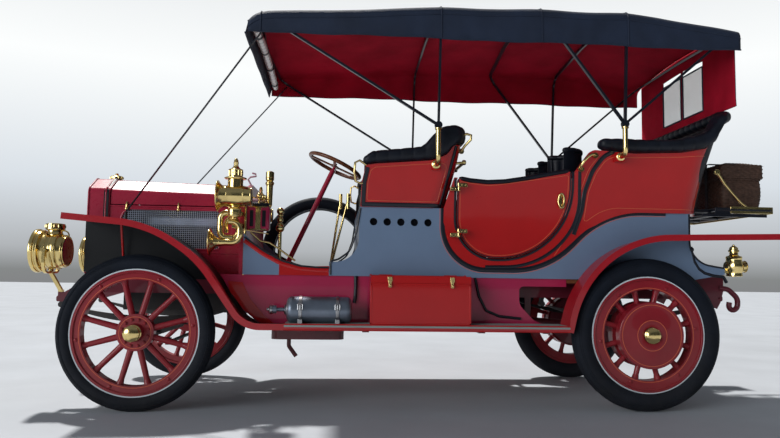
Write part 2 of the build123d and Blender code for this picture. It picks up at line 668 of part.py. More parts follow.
with BuildPart() as lower_body:
    with BuildSketch(side(-BOX_HALF)):
        fill_outline(LOWER_OUTLINE)
    extrude(amount=BODY_WALL)
    with BuildSketch(side(-BOX_HALF)):
        fill_outline(COWL_OUTLINE)
    extrude(amount=BODY_WALL)
    mirror(about=Plane.XZ)
    block(REAR_SEAT_FRONT + 30, REAR_WALL - BODY_WALL, -BOX_HALF, BOX_HALF, BODY_BOTTOM, REAR_BOX_TOP)
    with BuildSketch(side(BOX_HALF)):
        fill_outline(REAR_WALL_OUTLINE)
    extrude(amount=2 * BOX_HALF)
    with Locations(Location(at(VENT_X, 0, VENT_Z), (90, 0, 0))):
        with GridLocations(VENT_PITCH, 0, VENT_COUNT, 1):
            Cylinder(VENT_R, 2 * BODY_HALF + 20, mode=Mode.SUBTRACT)
    block(SEAT_BOX_FRONT, SEAT_BOX_FRONT + BODY_WALL, -BOX_HALF, BOX_HALF, BODY_BOTTOM, WAIST)
    block(SEAT_BOX_REAR - BODY_WALL, SEAT_BOX_REAR, -BOX_HALF, BOX_HALF, BODY_BOTTOM, WAIST)
    block(SEAT_BOX_FRONT, SEAT_BOX_REAR, -BOX_HALF, BOX_HALF, WAIST - BODY_WALL, WAIST)

# Upper coachwork: open-fronted tubs whose plan sections flare upward
SEAT_TUB = (
    # height, half width, rear station
    (WAIST, 602, 1848), (WAIST + 213, 634, 1912), (WAIST + 557, 676, 1974),
)
TONNEAU_TUB = (
    (850, BODY_HALF, 3520), (WAIST, 602, 3545), (WAIST + 707, 700, 3752),
)
SEAT_FRONT = 1312


def over_waist(rows):
    """Outline rows whose heights are given over the waist line."""
    return tuple((x, WAIST + z, radius) for x, z, radius in rows)


SEAT_PANEL_TOP = over_waist((
    # station, height, corner radius along the top edge of the front seat panels
    (1340, 257, 15), (1400, 268, 15), (1760, 298, 150), (1850, 337, 60), (1900, 402, 40), (2050, 425, 0),
))
SEAT_ROLL_TOP = over_waist((
    (2050, 532, 0), (1860, 525, 30), (1780, 487, 60), (1710, 389, 60), (1520, 367, 100), (1340, 323, 20),
))
SOFT_GAP = 0.3


def tub(sections, corner, front, inset):
    """Solid whose plan sections are rectangles with round rear corners, drawn in by inset."""
    with BuildPart() as body:
        for height, half, rear in sections:
            with BuildSketch(level(height)):
                fill_outline(((front, -half + inset, 0), (rear - inset, -half + inset, corner - inset),
                              (rear - inset, half - inset, corner - inset), (front, half - inset, 0)))
        loft()
    return body.part


def tub_wall(sections, corner, front, outer, inner):
    """Wall of a tub between two insets, open at the front."""
    return tub(sections, corner, front, outer) - tub(sections, corner, front - 50, inner)


def boss_pair(station_low, station_high, y_inner, y_outer, z_low, z_high):
    """The same block on the left and on the right."""
    block(station_low, station_high, -y_outer, -y_inner, z_low, z_high)
    block(station_low, station_high, y_inner, y_outer, z_low, z_high)


FRONT_APEX = (1780, WAIST + 502)
REAR_APEX = (2970, WAIST + 547)
BOW_Y = 748
FRONT_BOSS_Z = WAIST + 266
REAR_BOSS_Z = WAIST + 350
FRONT_BOSS_Y = 652
REAR_BOSS_Y = 670
BOSS_HALF = 30
SEAT_CORNER = 120
CUSHION_RISE = 177
TONNEAU_CORNER = 150

with BuildPart() as front_seat_shell:
    add(tub_wall(SEAT_TUB, SEAT_CORNER, SEAT_FRONT - 20, 0, TUB_WALL))
    with BuildSketch(side(0)):
        fill_outline(((SEAT_FRONT, WAIST, 0), (SEAT_FRONT + 4, WAIST + 157, 100)) + SEAT_PANEL_TOP
                     + ((2050, WAIST, 0),))
    extrude(amount=800, both=True, mode=Mode.INTERSECT)
    boss_pair(FRONT_APEX[0] - BOSS_HALF, FRONT_APEX[0] + BOSS_HALF, FRONT_BOSS_Y - 24, FRONT_BOSS_Y,
              FRONT_BOSS_Z - BOSS_HALF, FRONT_BOSS_Z + BOSS_HALF)

with BuildPart() as front_seat:
    seat_line = [(x, z + SOFT_GAP, r) for x, z, r in SEAT_PANEL_TOP]
    add(tub_wall(SEAT_TUB, SEAT_CORNER, SEAT_FRONT + 10, -12, TUB_WALL + 60))
    with BuildSketch(side(0)):
        fill_outline([(SEAT_FRONT + 10, WAIST + SOFT_GAP, 0), (SEAT_FRONT + 10, seat_line[0][1], 0)]
                     + list(reversed(SEAT_ROLL_TOP)) + [(2050, WAIST + SOFT_GAP, 0)])
    extrude(amount=800, both=True, mode=Mode.INTERSECT)
    with BuildPart(mode=Mode.PRIVATE) as shell_room:
        add(tub_wall(SEAT_TUB, SEAT_CORNER, SEAT_FRONT - 40, -60, TUB_WALL + SOFT_GAP))
        with BuildSketch(side(0)):
            fill_outline([(SEAT_FRONT - 60, WAIST - 60, 0), (SEAT_FRONT - 60, seat_line[0][1], 0)] + seat_line
                         + [(2050, WAIST - 60, 0)])
        extrude(amount=800, both=True, mode=Mode.INTERSECT)
    add(shell_room.part, mode=Mode.SUBTRACT)
    block(1345, 1740, -560, 560, WAIST + SOFT_GAP, WAIST + CUSHION_RISE)
    block(1345, 1790, -450, 450, WAIST + SOFT_GAP, WAIST + CUSHION_RISE)

TONNEAU_PANEL_TOP = over_waist((
    # station, height, corner radius along the top edge of the rear panels
    (2690, 257, 60), (2790, 397, 60), (3072, 379, 300), (3390, 393, 300), (3575, 429, 60),
    (3665, 607, 0), (3850, 607, 0),
))
DOOR_TOP = over_waist(((2663, 254, 12), (2130, 165, 500), (1925, 191, 12)))
TONNEAU_OUTLINE = over_waist(((1905, 197, 0),)) + SCOOP + (
    (3850, WAIST, 0),
) + tuple(reversed(TONNEAU_PANEL_TOP)) + over_waist(((2668, 197, 0),))
DOOR_LOW = SCOOP_Z + 73
DOOR_TALL = DOOR_TOP[0][1] - DOOR_LOW
DOOR_OUTLINE = ((1925, DOOR_LOW, 0.443 * DOOR_TALL), (2663, DOOR_LOW, 0.8245 * DOOR_TALL)) + DOOR_TOP
HINGE_ROWS = (WAIST + 133, DOOR_LOW + 0.2695 * DOOR_TALL)
HINGE_H = 24
PIN_R = 4
LEAF = 52
LEAF_T = 12
BATTEN = 3578


def hinge_leaf(hand, way, low):
    """Cranked leaf from the hinge line into the panel; way is 1 for the door and -1 for the pillar."""
    axis_y = hand * HINGE_Y
    outer = axis_y + hand * LEAF_T / 2
    inner = axis_y - hand * LEAF_T / 2
    root = axis_y - hand * 58
    with BuildSketch(level(low)) as leaf:
        with BuildLine() as border:
            Polyline((HINGE_X, outer), (HINGE_X + way * LEAF, outer), (HINGE_X + way * LEAF, root),
                     (HINGE_X + way * (LEAF - 25), root), (HINGE_X + way * (LEAF - 25), inner),
                     (HINGE_X, inner), close=True)
        make_face(border.edges())
        with Locations((HINGE_X, axis_y)):
            Circle(HINGE_R)
    extrude(leaf.sketch, amount=HINGE_H)


with BuildPart() as tonneau_shell:
    add(tub_wall(TONNEAU_TUB, TONNEAU_CORNER, 1800, 0, TUB_WALL))
    with BuildSketch(side(0)):
        fill_outline(TONNEAU_OUTLINE)
    extrude(amount=800, both=True, mode=Mode.INTERSECT)
    with BuildSketch(side(0)):
        fill_outline(DOOR_OUTLINE)
        offset(amount=DOOR_GAP)
        with Locations((2296, WAIST + 307)):
            Rectangle(2 * (2663 - 2296 + DOOR_GAP), 330)
    extrude(amount=800, both=True, mode=Mode.SUBTRACT)
    for hand in (-1, 1):
        for low in HINGE_ROWS:
            hinge_leaf(hand, -1, low - HINGE_H - 1)
            with Locations(at(HINGE_X, hand * HINGE_Y, low - HINGE_H - 1)):
                Cylinder(PIN_R, 2 * HINGE_H + 2, align=(Align.CENTER, Align.CENTER, Align.MIN))
    boss_pair(REAR_APEX[0] - BOSS_HALF, REAR_APEX[0] + BOSS_HALF, REAR_BOSS_Y - 30, REAR_BOSS_Y,
              REAR_BOSS_Z - BOSS_HALF, REAR_BOSS_Z + BOSS_HALF)
    block(3543, BATTEN, -440, 440, WAIST, WAIST + 57)


def make_door(hand):
    """Side door on the side that hand names, with its two hinge leaves."""
    with BuildPart() as door:
        add(tub_wall(TONNEAU_TUB, TONNEAU_CORNER, 1800, 0, TUB_WALL))
        with BuildSketch(side(0)):
            fill_outline(DOOR_OUTLINE)
        extrude(amount=-hand * 800, mode=Mode.INTERSECT)
        for low in HINGE_ROWS:
            hinge_leaf(hand, 1, low)
            with Locations(at(HINGE_X, hand * HINGE_Y, low)):
                Cylinder(PIN_R + RUNNING_FIT, HINGE_H, align=(Align.CENTER, Align.CENTER, Align.MIN),
                         mode=Mode.SUBTRACT)
    return door


door_left = make_door(-1)
door_right = make_door(1)

# Rear seat on its box, with the roll over the panels' top edge, and the two folding seats
REAR_ROLL_TOP = over_waist((
    (3850, 695, 0), (3715, 692, 60), (3560, 532, 100), (3400, 473, 200), (3000, 469, 60), (2835, 469, 30),
    (2790, 399, 15),
))
REAR_CUSHION_TOP = WAIST + 107

with BuildPart() as rear_seat:
    add(tub_wall(TONNEAU_TUB, TONNEAU_CORNER, 2700, TUB_WALL + SOFT_GAP, TUB_WALL + 70))
    with BuildSketch(side(0)):
        fill_outline(((REAR_SEAT_FRONT, REAR_BOX_TOP + 70, 0), (2900, WAIST + 317, 60),
                      (2835, WAIST + 397, 20), (2835, WAIST + 457, 10)) + tuple(reversed(REAR_ROLL_TOP[:5])) + ((3850, REAR_BOX_TOP + 70, 0),))
    extrude(amount=800, both=True, mode=Mode.INTERSECT)
    with BuildPart(mode=Mode.PRIVATE) as rear_roll:
        add(tub_wall(TONNEAU_TUB, TONNEAU_CORNER + 14, 2700, -12, TUB_WALL + 70))
        with BuildSketch(side(0)):
            fill_outline([(x, z + SOFT_GAP, r) for x, z, r in TONNEAU_PANEL_TOP[2:]] + list(REAR_ROLL_TOP))
        extrude(amount=800, both=True, mode=Mode.INTERSECT)
    add(rear_roll.part)
    block(REAR_SEAT_FRONT, REAR_WALL - BODY_WALL - SOFT_GAP, -530, 530, REAR_BOX_TOP + SOFT_GAP, REAR_CUSHION_TOP)
    block(REAR_SEAT_FRONT, REAR_WALL + 12, -530, 530, WAIST + SOFT_GAP, REAR_CUSHION_TOP)

JUMP_Y = 290
JUMP_HALF = 180
JUMP_BACK_X = 2665
JUMP_SEAT_TOP = 1240
JUMP_BACK_TOP = 1680
JUMP_BACK_T = 34

with BuildPart() as jump_seats:
    block(2350, 2700, -JUMP_Y - JUMP_HALF, -JUMP_Y + JUMP_HALF, JUMP_SEAT_TOP - 90, JUMP_SEAT_TOP)
    fillet(jump_seats.edges(), 20)
    with BuildSketch(level(JUMP_SEAT_TOP - 40)):
        with Locations((JUMP_BACK_X, -JUMP_Y)):
            Circle(JUMP_HALF)
            Circle(JUMP_HALF - JUMP_BACK_T, mode=Mode.SUBTRACT)
            Rectangle(2 * JUMP_HALF, 3 * JUMP_HALF, align=(Align.MAX, Align.CENTER), mode=Mode.SUBTRACT)
    extrude(amount=JUMP_BACK_TOP - JUMP_SEAT_TOP + 40)
    block(2470, 2530, -JUMP_Y - 20, -JUMP_Y + 20, BODY_BOTTOM, JUMP_SEAT_TOP - 90)
    mirror(about=Plane.XZ)

# Running boards, aprons and fenders
APRON_OUTLINE = (
    # station, height, corner radius
    (BOARD_FRONT, BOARD_TOP - BOARD_T, 0), (BOARD_REAR - 28, BOARD_TOP - BOARD_T, 0), (2424, 544, 60),
    (2333, 640, 80), (2333, BODY_BOTTOM - 50, 30), (BOARD_REAR + 52, BODY_BOTTOM - 50, 0),
    (BOARD_REAR + 52, BODY_BOTTOM, 0), (455, BODY_BOTTOM, 0), (494, 740, 0), (600, 590, 0), (700, 508, 0),
    (BOARD_FRONT, 508, 0),
)
VALANCE_OUTLINE = (
    # inner sheet of the front fender, down to the frame rail
    (-430, 811, 0), (-330, 770, 60), (442, 770, 0), (352, 900, 700), (58, 1091, 700), (-430, 1132, 0),
)
FRONT_FENDER = ((-430, 1132), (58, 1091), (352, 900), (628, 502), (BOARD_FRONT, 502))
FRONT_FENDER_RADII = (700, 700, 190)
REAR_FENDER = ((WHEELBASE - 510, 484), (WHEELBASE - 372, 1058), (WHEELBASE + 900, 1092))
REAR_FENDER_RADIUS = 650
FRONT_FENDER_INNER = 400
STRAP_EYE = (-169, 450, 1191)
LIP_T = 6

with BuildPart() as running_boards:
    block(BOARD_FRONT, BOARD_REAR, -FENDER_OUTER, -APRON_Y - APRON_T, BOARD_TOP - BOARD_T, BOARD_TOP)
    mirror(about=Plane.XZ)

with BuildPart() as side_aprons:
    with BuildSketch(side(-APRON_Y)):
        fill_outline(APRON_OUTLINE)
    extrude(amount=APRON_T)
    with BuildSketch(side(-RAIL_INNER - RAIL_WIDTH)):
        fill_outline(VALANCE_OUTLINE)
    extrude(amount=FRONT_FENDER_INNER - RAIL_INNER - RAIL_WIDTH)
    mirror(about=Plane.XZ)

with BuildPart() as front_fenders:
    with BuildSketch(side(-FRONT_FENDER_INNER)):
        with BuildLine():
            FilletPolyline(*FRONT_FENDER, radius=FRONT_FENDER_RADII)
        trace(line_width=FENDER_T)
    extrude(amount=FENDER_OUTER - FRONT_FENDER_INNER)
    with BuildSketch(side(-FENDER_OUTER + LIP_T)):
        with BuildLine():
            FilletPolyline(*FRONT_FENDER, radius=FRONT_FENDER_RADII)
        trace(line_width=LIP_H)
    extrude(amount=LIP_T)
    rod(at(STRAP_EYE[0], -STRAP_EYE[1], 1111), at(STRAP_EYE[0], -STRAP_EYE[1], STRAP_EYE[2]), 9)
    mirror(about=Plane.XZ)

with BuildPart() as rear_fenders:
    with BuildSketch(side(-BODY_HALF)):
        with BuildLine():
            FilletPolyline(*REAR_FENDER, radius=REAR_FENDER_RADIUS)
        trace(line_width=FENDER_T)
    extrude(amount=FENDER_OUTER - BODY_HALF)
    with BuildSketch(side(-FENDER_OUTER + LIP_T)):
        with BuildLine():
            FilletPolyline(*REAR_FENDER, radius=REAR_FENDER_RADIUS)
        trace(line_width=LIP_H)
    extrude(amount=LIP_T)
    with Locations(at(BOARD_REAR, -FENDER_OUTER, BOARD_TOP)):
        Box(200, 500, 200, align=(Align.MAX, Align.CENTER, Align.CENTER), mode=Mode.SUBTRACT)
    mirror(about=Plane.XZ)

# Toolbox with its hinged lid, and the lamp gas tank, on the left running board
TOOLBOX = (1376, 1981, FENDER_OUTER - 193, FENDER_OUTER - 15)
TOOLBOX_TOP = 768
TOOLBOX_WALL = 10
TOOL_PIN_Y = TOOLBOX[2] + 8
TOOL_PIN_Z = 811
LID_TOP = 811

with BuildPart() as toolbox:
    front_x, rear_x, inner_y, outer_y = TOOLBOX
    block(front_x, rear_x, -outer_y, -inner_y, BOARD_TOP, TOOLBOX_TOP)
    with Locations(at((front_x + rear_x) / 2, -(inner_y + outer_y) / 2, BOARD_TOP + TOOLBOX_WALL)):
        Box(rear_x - front_x - 2 * TOOLBOX_WALL, outer_y - inner_y - 2 * TOOLBOX_WALL, 400,
            align=(Align.CENTER, Align.CENTER, Align.MIN), mode=Mode.SUBTRACT)
    for low in (front_x, rear_x - 12):
        block(low, low + 12, -TOOL_PIN_Y - 8, -inner_y, TOOLBOX_TOP - 20, TOOL_PIN_Z + 8)
    rod(at(front_x, -TOOL_PIN_Y, TOOL_PIN_Z), at(rear_x, -TOOL_PIN_Y, TOOL_PIN_Z), PIN_R)

with BuildPart() as toolbox_lid:
    block(front_x, rear_x, -outer_y - 4, -TOOL_PIN_Y - 14, TOOLBOX_TOP + 1, LID_TOP)
    for low in (front_x + 60, rear_x - 140):
        block(low, low + 80, -TOOL_PIN_Y - 20, -TOOL_PIN_Y, TOOL_PIN_Z - 8, TOOL_PIN_Z)
        rod(at(low, -TOOL_PIN_Y, TOOL_PIN_Z), at(low + 80, -TOOL_PIN_Y, TOOL_PIN_Z), 8)
    with Locations(Location(at((front_x + rear_x) / 2, -TOOL_PIN_Y, TOOL_PIN_Z), (0, 90, 0))):
        Cylinder(PIN_R + RUNNING_FIT, rear_x - front_x, mode=Mode.SUBTRACT)

TANK_R = 80
TANK_Y = FENDER_OUTER - 90
TANK_ENDS = (876, 1266)

with BuildPart() as gas_tank:
    tank_z = BOARD_TOP + TANK_R
    with BuildSketch(side(-TANK_Y)):
        with BuildLine():
            FilletPolyline((TANK_ENDS[0], tank_z), (TANK_ENDS[0], tank_z + TANK_R),
                           (TANK_ENDS[1], tank_z + TANK_R), (TANK_ENDS[1], tank_z), radius=35)
            Line((TANK_ENDS[1], tank_z), (TANK_ENDS[0], tank_z))
        make_face()
    revolve(axis=Axis(at(0, -TANK_Y, tank_z), (1, 0, 0)))
    rod(at(TANK_ENDS[0] + 5, -TANK_Y, tank_z), at(TANK_ENDS[0] - 60, -TANK_Y, tank_z), 12)
    rod(at(TANK_ENDS[0] - 60, -TANK_Y, tank_z), at(TANK_ENDS[0] - 84, -TANK_Y, tank_z), 24)

# Lamps, horn and their brackets
HEAD_Y = 420
HEAD_Z = 935
FORK_STATION = -621
FORK_HALF = 125
HEAD_PROFILE = (
    # station, radius
    (-700, 0), (-700, 118), (-712, 124), (-712, 135), (-696, 135), (-692, 128), (-670, 128), (-664, 106),
    (-600, 106), (-592, 112), (-570, 112), (-564, 104), (-536, 100), (-526, 92), (-526, 0),
)
CHIMNEY_X = -607

with BuildPart() as headlamps:
    with BuildSketch(side(-HEAD_Y)):
        with BuildLine():
            Polyline([(x, HEAD_Z + r) for x, r in HEAD_PROFILE], close=True)
        make_face()
    revolve(axis=Axis(at(0, -HEAD_Y, HEAD_Z), (1, 0, 0)))
    rod(at(CHIMNEY_X, -HEAD_Y, HEAD_Z), at(CHIMNEY_X, -HEAD_Y, 1078), 42)
    rod(at(CHIMNEY_X, -HEAD_Y, 1070), at(CHIMNEY_X, -HEAD_Y, 1106), 56)
    rod(at(FORK_STATION, -HEAD_Y - FORK_HALF + 6, HEAD_Z), at(FORK_STATION, -HEAD_Y + FORK_HALF - 6, HEAD_Z), 9)
    mirror(about=Plane.XZ)

with BuildPart() as lamp_brackets:
    with BuildSketch(cross(FORK_STATION - 9)):
        with BuildLine():
            FilletPolyline((-HEAD_Y - FORK_HALF, HEAD_Z + 14), (-HEAD_Y - FORK_HALF, 800),
                           (-HEAD_Y + FORK_HALF, 800), (-HEAD_Y + FORK_HALF, HEAD_Z + 14), radius=60)
        trace(line_width=12)
    extrude(amount=18)
    block(LAMP_POST_X - 14, LAMP_POST_X + 14, -SPRING_Y - 13, -SPRING_Y + 13, LAMP_SEAT_Z, LAMP_SEAT_Z + 14)
    bar(at(LAMP_POST_X, -SPRING_Y, LAMP_SEAT_Z + 8), at(FORK_STATION, -HEAD_Y, 800), 26, 20)
    mirror(about=Plane.XZ)

SIDE_LAMP_X = 545
SIDE_LAMP_Y = 690
SIDE_LAMP_Z = 1280
SIDE_LAMP_BARREL = (
    # station, radius
    (460, 0), (460, 62), (442, 78), (448, 81), (472, 60), (500, 62), (545, 66), (600, 62), (628, 54),
    (644, 54), (644, 0),
)
SIDE_LAMP_STACK = (
    # radius, height
    (0, 1153), (34, 1153), (41, 1165), (41, 1200), (28, 1212), (28, 1240), (46, 1300), (46, 1382), (63, 1384),
    (63, 1392), (41, 1396), (41, 1440), (33, 1444), (13, 1464), (16, 1486), (8, 1500), (8, 1511), (0, 1511),
)

with BuildPart() as side_lamps:
    with BuildSketch(side(-SIDE_LAMP_Y, SIDE_LAMP_X)):
        with BuildLine():
            Polyline(*SIDE_LAMP_STACK, close=True)
        make_face()
    revolve(axis=Axis(at(SIDE_LAMP_X, -SIDE_LAMP_Y, 0), (0, 0, 1)))
    with BuildSketch(side(-SIDE_LAMP_Y)):
        with BuildLine():
            Polyline([(x, SIDE_LAMP_Z + r) for x, r in SIDE_LAMP_BARREL], close=True)
        make_face()
    revolve(axis=Axis(at(0, -SIDE_LAMP_Y, SIDE_LAMP_Z), (1, 0, 0)))
    block(566, 586, -SIDE_LAMP_Y + 20, -DASH_HALF, 1166, 1190)
    mirror(about=Plane.XZ)

HORN_Y = 620
HORN_BEND_Y = 646
HORN_TUBE_R = 15
HORN_Z = 1000
HORN_LOOP = ((535, 1112), (535, 1183), (450, 1183), (450, 1030), (528, 1030))
HORN_BEND = ((505, 1128), (574, 1128), (574, HORN_Z), (470, HORN_Z))
HORN_BELL = (
    # station, radius
    (484, 0), (484, 15), (450, 22), (425, 38), (408, 62), (398, 82), (392, 82), (402, 60), (419, 34), (446, 0),
)

with BuildPart() as horn:
    for horn_path, y, bend in ((HORN_LOOP, HORN_Y, 40), (HORN_BEND, HORN_BEND_Y, 50)):
        with BuildLine(side(-y)) as tube_line:
            FilletPolyline(*horn_path, radius=bend)
        with BuildSketch(Plane(origin=tube_line.line @ 0, z_dir=tube_line.line % 0)):
            Circle(HORN_TUBE_R)
        sweep(path=tube_line.line)
    with BuildSketch(side(-HORN_BEND_Y)):
        with BuildLine():
            Polyline([(x, HORN_Z + r) for x, r in HORN_BELL], close=True)
        make_face()
    revolve(axis=Axis(at(0, -HORN_BEND_Y, HORN_Z), (1, 0, 0)))
    block(526, 586, -HORN_BEND_Y - 6, -DASH_HALF, 1092, 1116)

with BuildPart() as tail_lamp:
    with Locations(at(3790, -540, 840)):
        Cylinder(48, 130, align=(Align.CENTER, Align.CENTER, Align.MIN))
        Cylinder(26, 190, align=(Align.CENTER, Align.CENTER, Align.MIN))
    block(3695, 3760, -550, -530, 860, 890)

# Top: bows from two pivots a side, the fabric shell, the rear curtain and the front straps
TOP_ROWS = (
    # station, height at the side; the middle stands higher by the crown
    (600, 2372), (652, 2424), (1200, 2468), (1791, 2505), (2426, 2520), (2990, 2522), (3400, 2482), (3735, 2428),
)
CROWN = 60
FABRIC_T = 8
VALANCE_BOTTOM = 2286
BOW_W = 24
BOW_T = 14
BOW_BARS = (
    # pivot station and height, then the cross bar's station and the fabric height over it
    (FRONT_APEX, 676, 2424), (FRONT_APEX, 1791, 2505), (REAR_APEX, 2430, 2519), (REAR_APEX, 2990, 2521),
    (REAR_APEX, 3690, 2432),
)


def fabric_section(station, side_top, inset, low):
    """Section across the top: upright valances joined by a crowned arc."""
    with BuildSketch(cross(station)) as section:
        with BuildLine() as border:
            half = TOP_HALF - inset
            Line((-half, low), (-half, side_top - inset))
            ThreePointArc((-half, side_top - inset), (0, side_top + CROWN - inset), (half, side_top - inset))
            Line((half, side_top - inset), (half, low))
            Line((half, low), (-half, low))
        make_face(border.edges())
    return section.sketch


with BuildPart() as top_fabric:
    loft([fabric_section(x, z, 0, VALANCE_BOTTOM) for x, z in TOP_ROWS], ruled=True)
    inner_rows = [(TOP_ROWS[0][0] + FABRIC_T, TOP_ROWS[0][1])] + list(TOP_ROWS[1:-1]) + [(TOP_ROWS[-1][0] + 5, 2428)]
    loft([fabric_section(x, z, FABRIC_T, VALANCE_BOTTOM - 10) for x, z in inner_rows], ruled=True,
         mode=Mode.SUBTRACT)

with BuildPart() as top_irons:
    for station, top_z, boss_z, boss_y in (FRONT_APEX + (FRONT_BOSS_Z, FRONT_BOSS_Y),
                                           REAR_APEX + (REAR_BOSS_Z, REAR_BOSS_Y)):
        with BuildSketch(cross(station - 11)):
            with BuildLine():
                FilletPolyline((-boss_y, boss_z), (-BOW_Y, boss_z), (-BOW_Y, top_z - 24), radius=40)
            trace(line_width=20)
        extrude(amount=22)
    mirror(about=Plane.XZ)

with BuildPart() as top_bows:
    for (apex_x, apex_z), bar_x, cover_z in BOW_BARS:
        apex = at(apex_x, 0, apex_z)
        head = at(bar_x, 0, cover_z - FABRIC_T - BOW_W / 2 + 4)
        reach = (head - apex).length
        bow_plane = Plane(origin=apex, x_dir=(0, 1, 0), z_dir=Vector(0, 1, 0).cross(head - apex))
        with BuildSketch(bow_plane):
            with BuildLine():
                FilletPolyline((-BOW_Y, 0), (-BOW_Y, reach), (0, reach + CROWN), (BOW_Y, reach), (BOW_Y, 0),
                               radius=(90, 2000, 90))
            trace(line_width=BOW_W)
        extrude(amount=BOW_T / 2, both=True)
    for apex_x, apex_z in (FRONT_APEX, REAR_APEX):
        with Locations(Location(at(apex_x, 0, apex_z), (90, 0, 0))):
            for y in (-BOW_Y, BOW_Y):
                with Locations((0, 0, y)):
                    Cylinder(24, BOW_W)
    bow_rows = inner_rows[:-1] + [(TOP_ROWS[-1][0] - SOFT_GAP, TOP_ROWS[-1][1])]
    loft([fabric_section(x, z, FABRIC_T + SOFT_GAP, 1600) for x, z in bow_rows], ruled=True,
         mode=Mode.INTERSECT)
    add(top_irons.part)

CURTAIN_HALF = 640
CURTAIN_X, curtain_top = TOP_ROWS[-1]

with BuildPart() as rear_curtain:
    extrude(fabric_section(CURTAIN_X, curtain_top, 0, WAIST + 703), amount=8)
    with Locations(at(CURTAIN_X, 0, 2200)):
        Box(100, 2 * CURTAIN_HALF, 1000, mode=Mode.INTERSECT)
    for y in (-155, 155):
        with Locations(at(CURTAIN_X + 4, y, 2170)):
            Box(40, 280, 320, mode=Mode.SUBTRACT)

with BuildPart() as top_straps:
    strap_foot = at(STRAP_EYE[0] + 4, -STRAP_EYE[1] - 2, STRAP_EYE[2] + 4.5)
    strap_head = at(722, -BOW_Y, 2352)
    bar(strap_foot, strap_head, 26, 4)
    mirror(about=Plane.XZ)

# Luggage rack and the wicker hamper on it
RACK_Z = WAIST + 42
RACK_R = 12
RACK_REAR = 4092
RACK_BARS = (3700, 3890, 4080)
HAMPER = (3800, 4110, 400)
HAMPER_SPLIT = RACK_Z + 235
HAMPER_TOP = RACK_Z + 355

with BuildPart() as luggage_rack:
    for y in (-400, -140, 140, 400):
        rod(at(BATTEN, y, RACK_Z), at(RACK_REAR, y, RACK_Z), RACK_R)
    for station in RACK_BARS:
        rod(at(station, -500, RACK_Z), at(station, 500, RACK_Z), RACK_R)
    for y in (-500, 500):
        rod(at(RACK_BARS[0], y, RACK_Z), at(RACK_BARS[-1], y, RACK_Z), RACK_R)
    for y in (-400, 400):
        rod(at(BATTEN + 6, y, RACK_Z - 35), at(3890, y, RACK_Z), 9)

with BuildPart() as hamper:
    front_x, rear_x, half = HAMPER
    for z, grow in ((RACK_Z + RACK_R + SOFT_GAP, -22), (HAMPER_SPLIT, 0)):
        with BuildSketch(level(z)):
            with Locations(((front_x + rear_x) / 2, 0)):
                RectangleRounded(rear_x - front_x - 16 + 2 * grow, 2 * half - 16 + 2 * grow, 25)
    loft()
    with BuildSketch(level(HAMPER_SPLIT)):
        with Locations(((front_x + rear_x) / 2, 0)):
            RectangleRounded(rear_x - front_x, 2 * half, 30)
    extrude(amount=HAMPER_TOP - HAMPER_SPLIT)

# Brake levers and the dash fittings
with BuildPart() as brake_levers:
    for y, lean in ((500, 60), (540, 0)):
        block(1095, 1125, y - 12, y + 12, BODY_BOTTOM, BODY_BOTTOM + 12)
        rod(at(1110, y, BODY_BOTTOM + 8), at(1190 + lean, y, 1407), 9)
        rod(at(1190 + lean, y, 1330), at(1190 + lean, y, 1450), 14)

OILER_STACK = (
    # radius, height
    (0, 1241), (12, 1241), (19, 1259), (22, 1389), (27, 1395), (27, 1412), (20, 1418), (27, 1426), (27, 1478),
    (16, 1484), (0, 1484),
)
OILER_X = 720
OILER_Y = 370
VALVE_X = 795

with BuildPart() as dash_fittings:
    block(DASH_REAR, DASH_REAR + 143, -500, -400, 1088, 1240)
    fillet(dash_fittings.edges().filter_by(Axis.Z), 22)
    block(626, 728, -485, -415, 1230, 1261)
    rod(at(664, -450, 1255), at(664, -450, 1300), 8)
    with Locations(at(664, -450, 1312)):
        Sphere(20)
    block(DASH_REAR, OILER_X, -OILER_Y - 10, -OILER_Y + 10, 1290, 1310)
    with BuildSketch(side(-OILER_Y, OILER_X)):
        with BuildLine():
            Polyline(*OILER_STACK, close=True)
        make_face()
    revolve(axis=Axis(at(OILER_X, -OILER_Y, 0), (0, 0, 1)))
    rod(at(VALVE_X, -OILER_Y, BODY_BOTTOM + 17), at(VALVE_X, -OILER_Y, 1222), 12)
    for z, radius in ((1110, 28), (1166, 20), (1222, 25)):
        with Locations(at(VALVE_X, -OILER_Y, z)):
            Sphere(radius)

PIECES = {
    "chassis_frame": chassis_frame, "board_irons": board_irons,
    "front_axle": front_axle, "rear_axle": rear_axle,
    "springs": springs,
    "engine_block": engine_block, "boiler_casing": boiler_casing,
    "spare_tyres": spare_tyres, "knuckle_left": knuckle_left, "knuckle_right": knuckle_right,
    "tie_rod": tie_rod, "pitman_arm": pitman_arm, "drag_link": drag_link,
    "steering_column": steering_column, "steering_wheel": steering_wheel,
    "front_shell": front_shell, "radiator_core": radiator_core, "bonnet_sides": bonnet_sides,
    "bonnet_grilles": bonnet_grilles,
    "bonnet_left": bonnet_left, "bonnet_right": bonnet_right,
    "dash": dash, "floor": floor, "entry_sills": entry_sills,
    "lower_body": lower_body, "front_seat_shell": front_seat_shell, "front_seat": front_seat,
    "tonneau_shell": tonneau_shell, "door_left": door_left, "door_right": door_right,
    "rear_seat": rear_seat, "jump_seats": jump_seats,
    "running_boards": running_boards, "side_aprons": side_aprons,
    "front_fenders": front_fenders, "rear_fenders": rear_fenders,
    "toolbox": toolbox, "toolbox_lid": toolbox_lid, "gas_tank": gas_tank,
    "headlamps": headlamps, "lamp_brackets": lamp_brackets, "side_lamps": side_lamps,
    "horn": horn, "tail_lamp": tail_lamp,
    "top_fabric": top_fabric, "top_bows": top_bows,
    "rear_curtain": rear_curtain, "top_straps": top_straps,
    "luggage_rack": luggage_rack, "hamper": hamper,
    "brake_levers": brake_levers, "dash_fittings": dash_fittings,
}
PIECES.update(wheels)

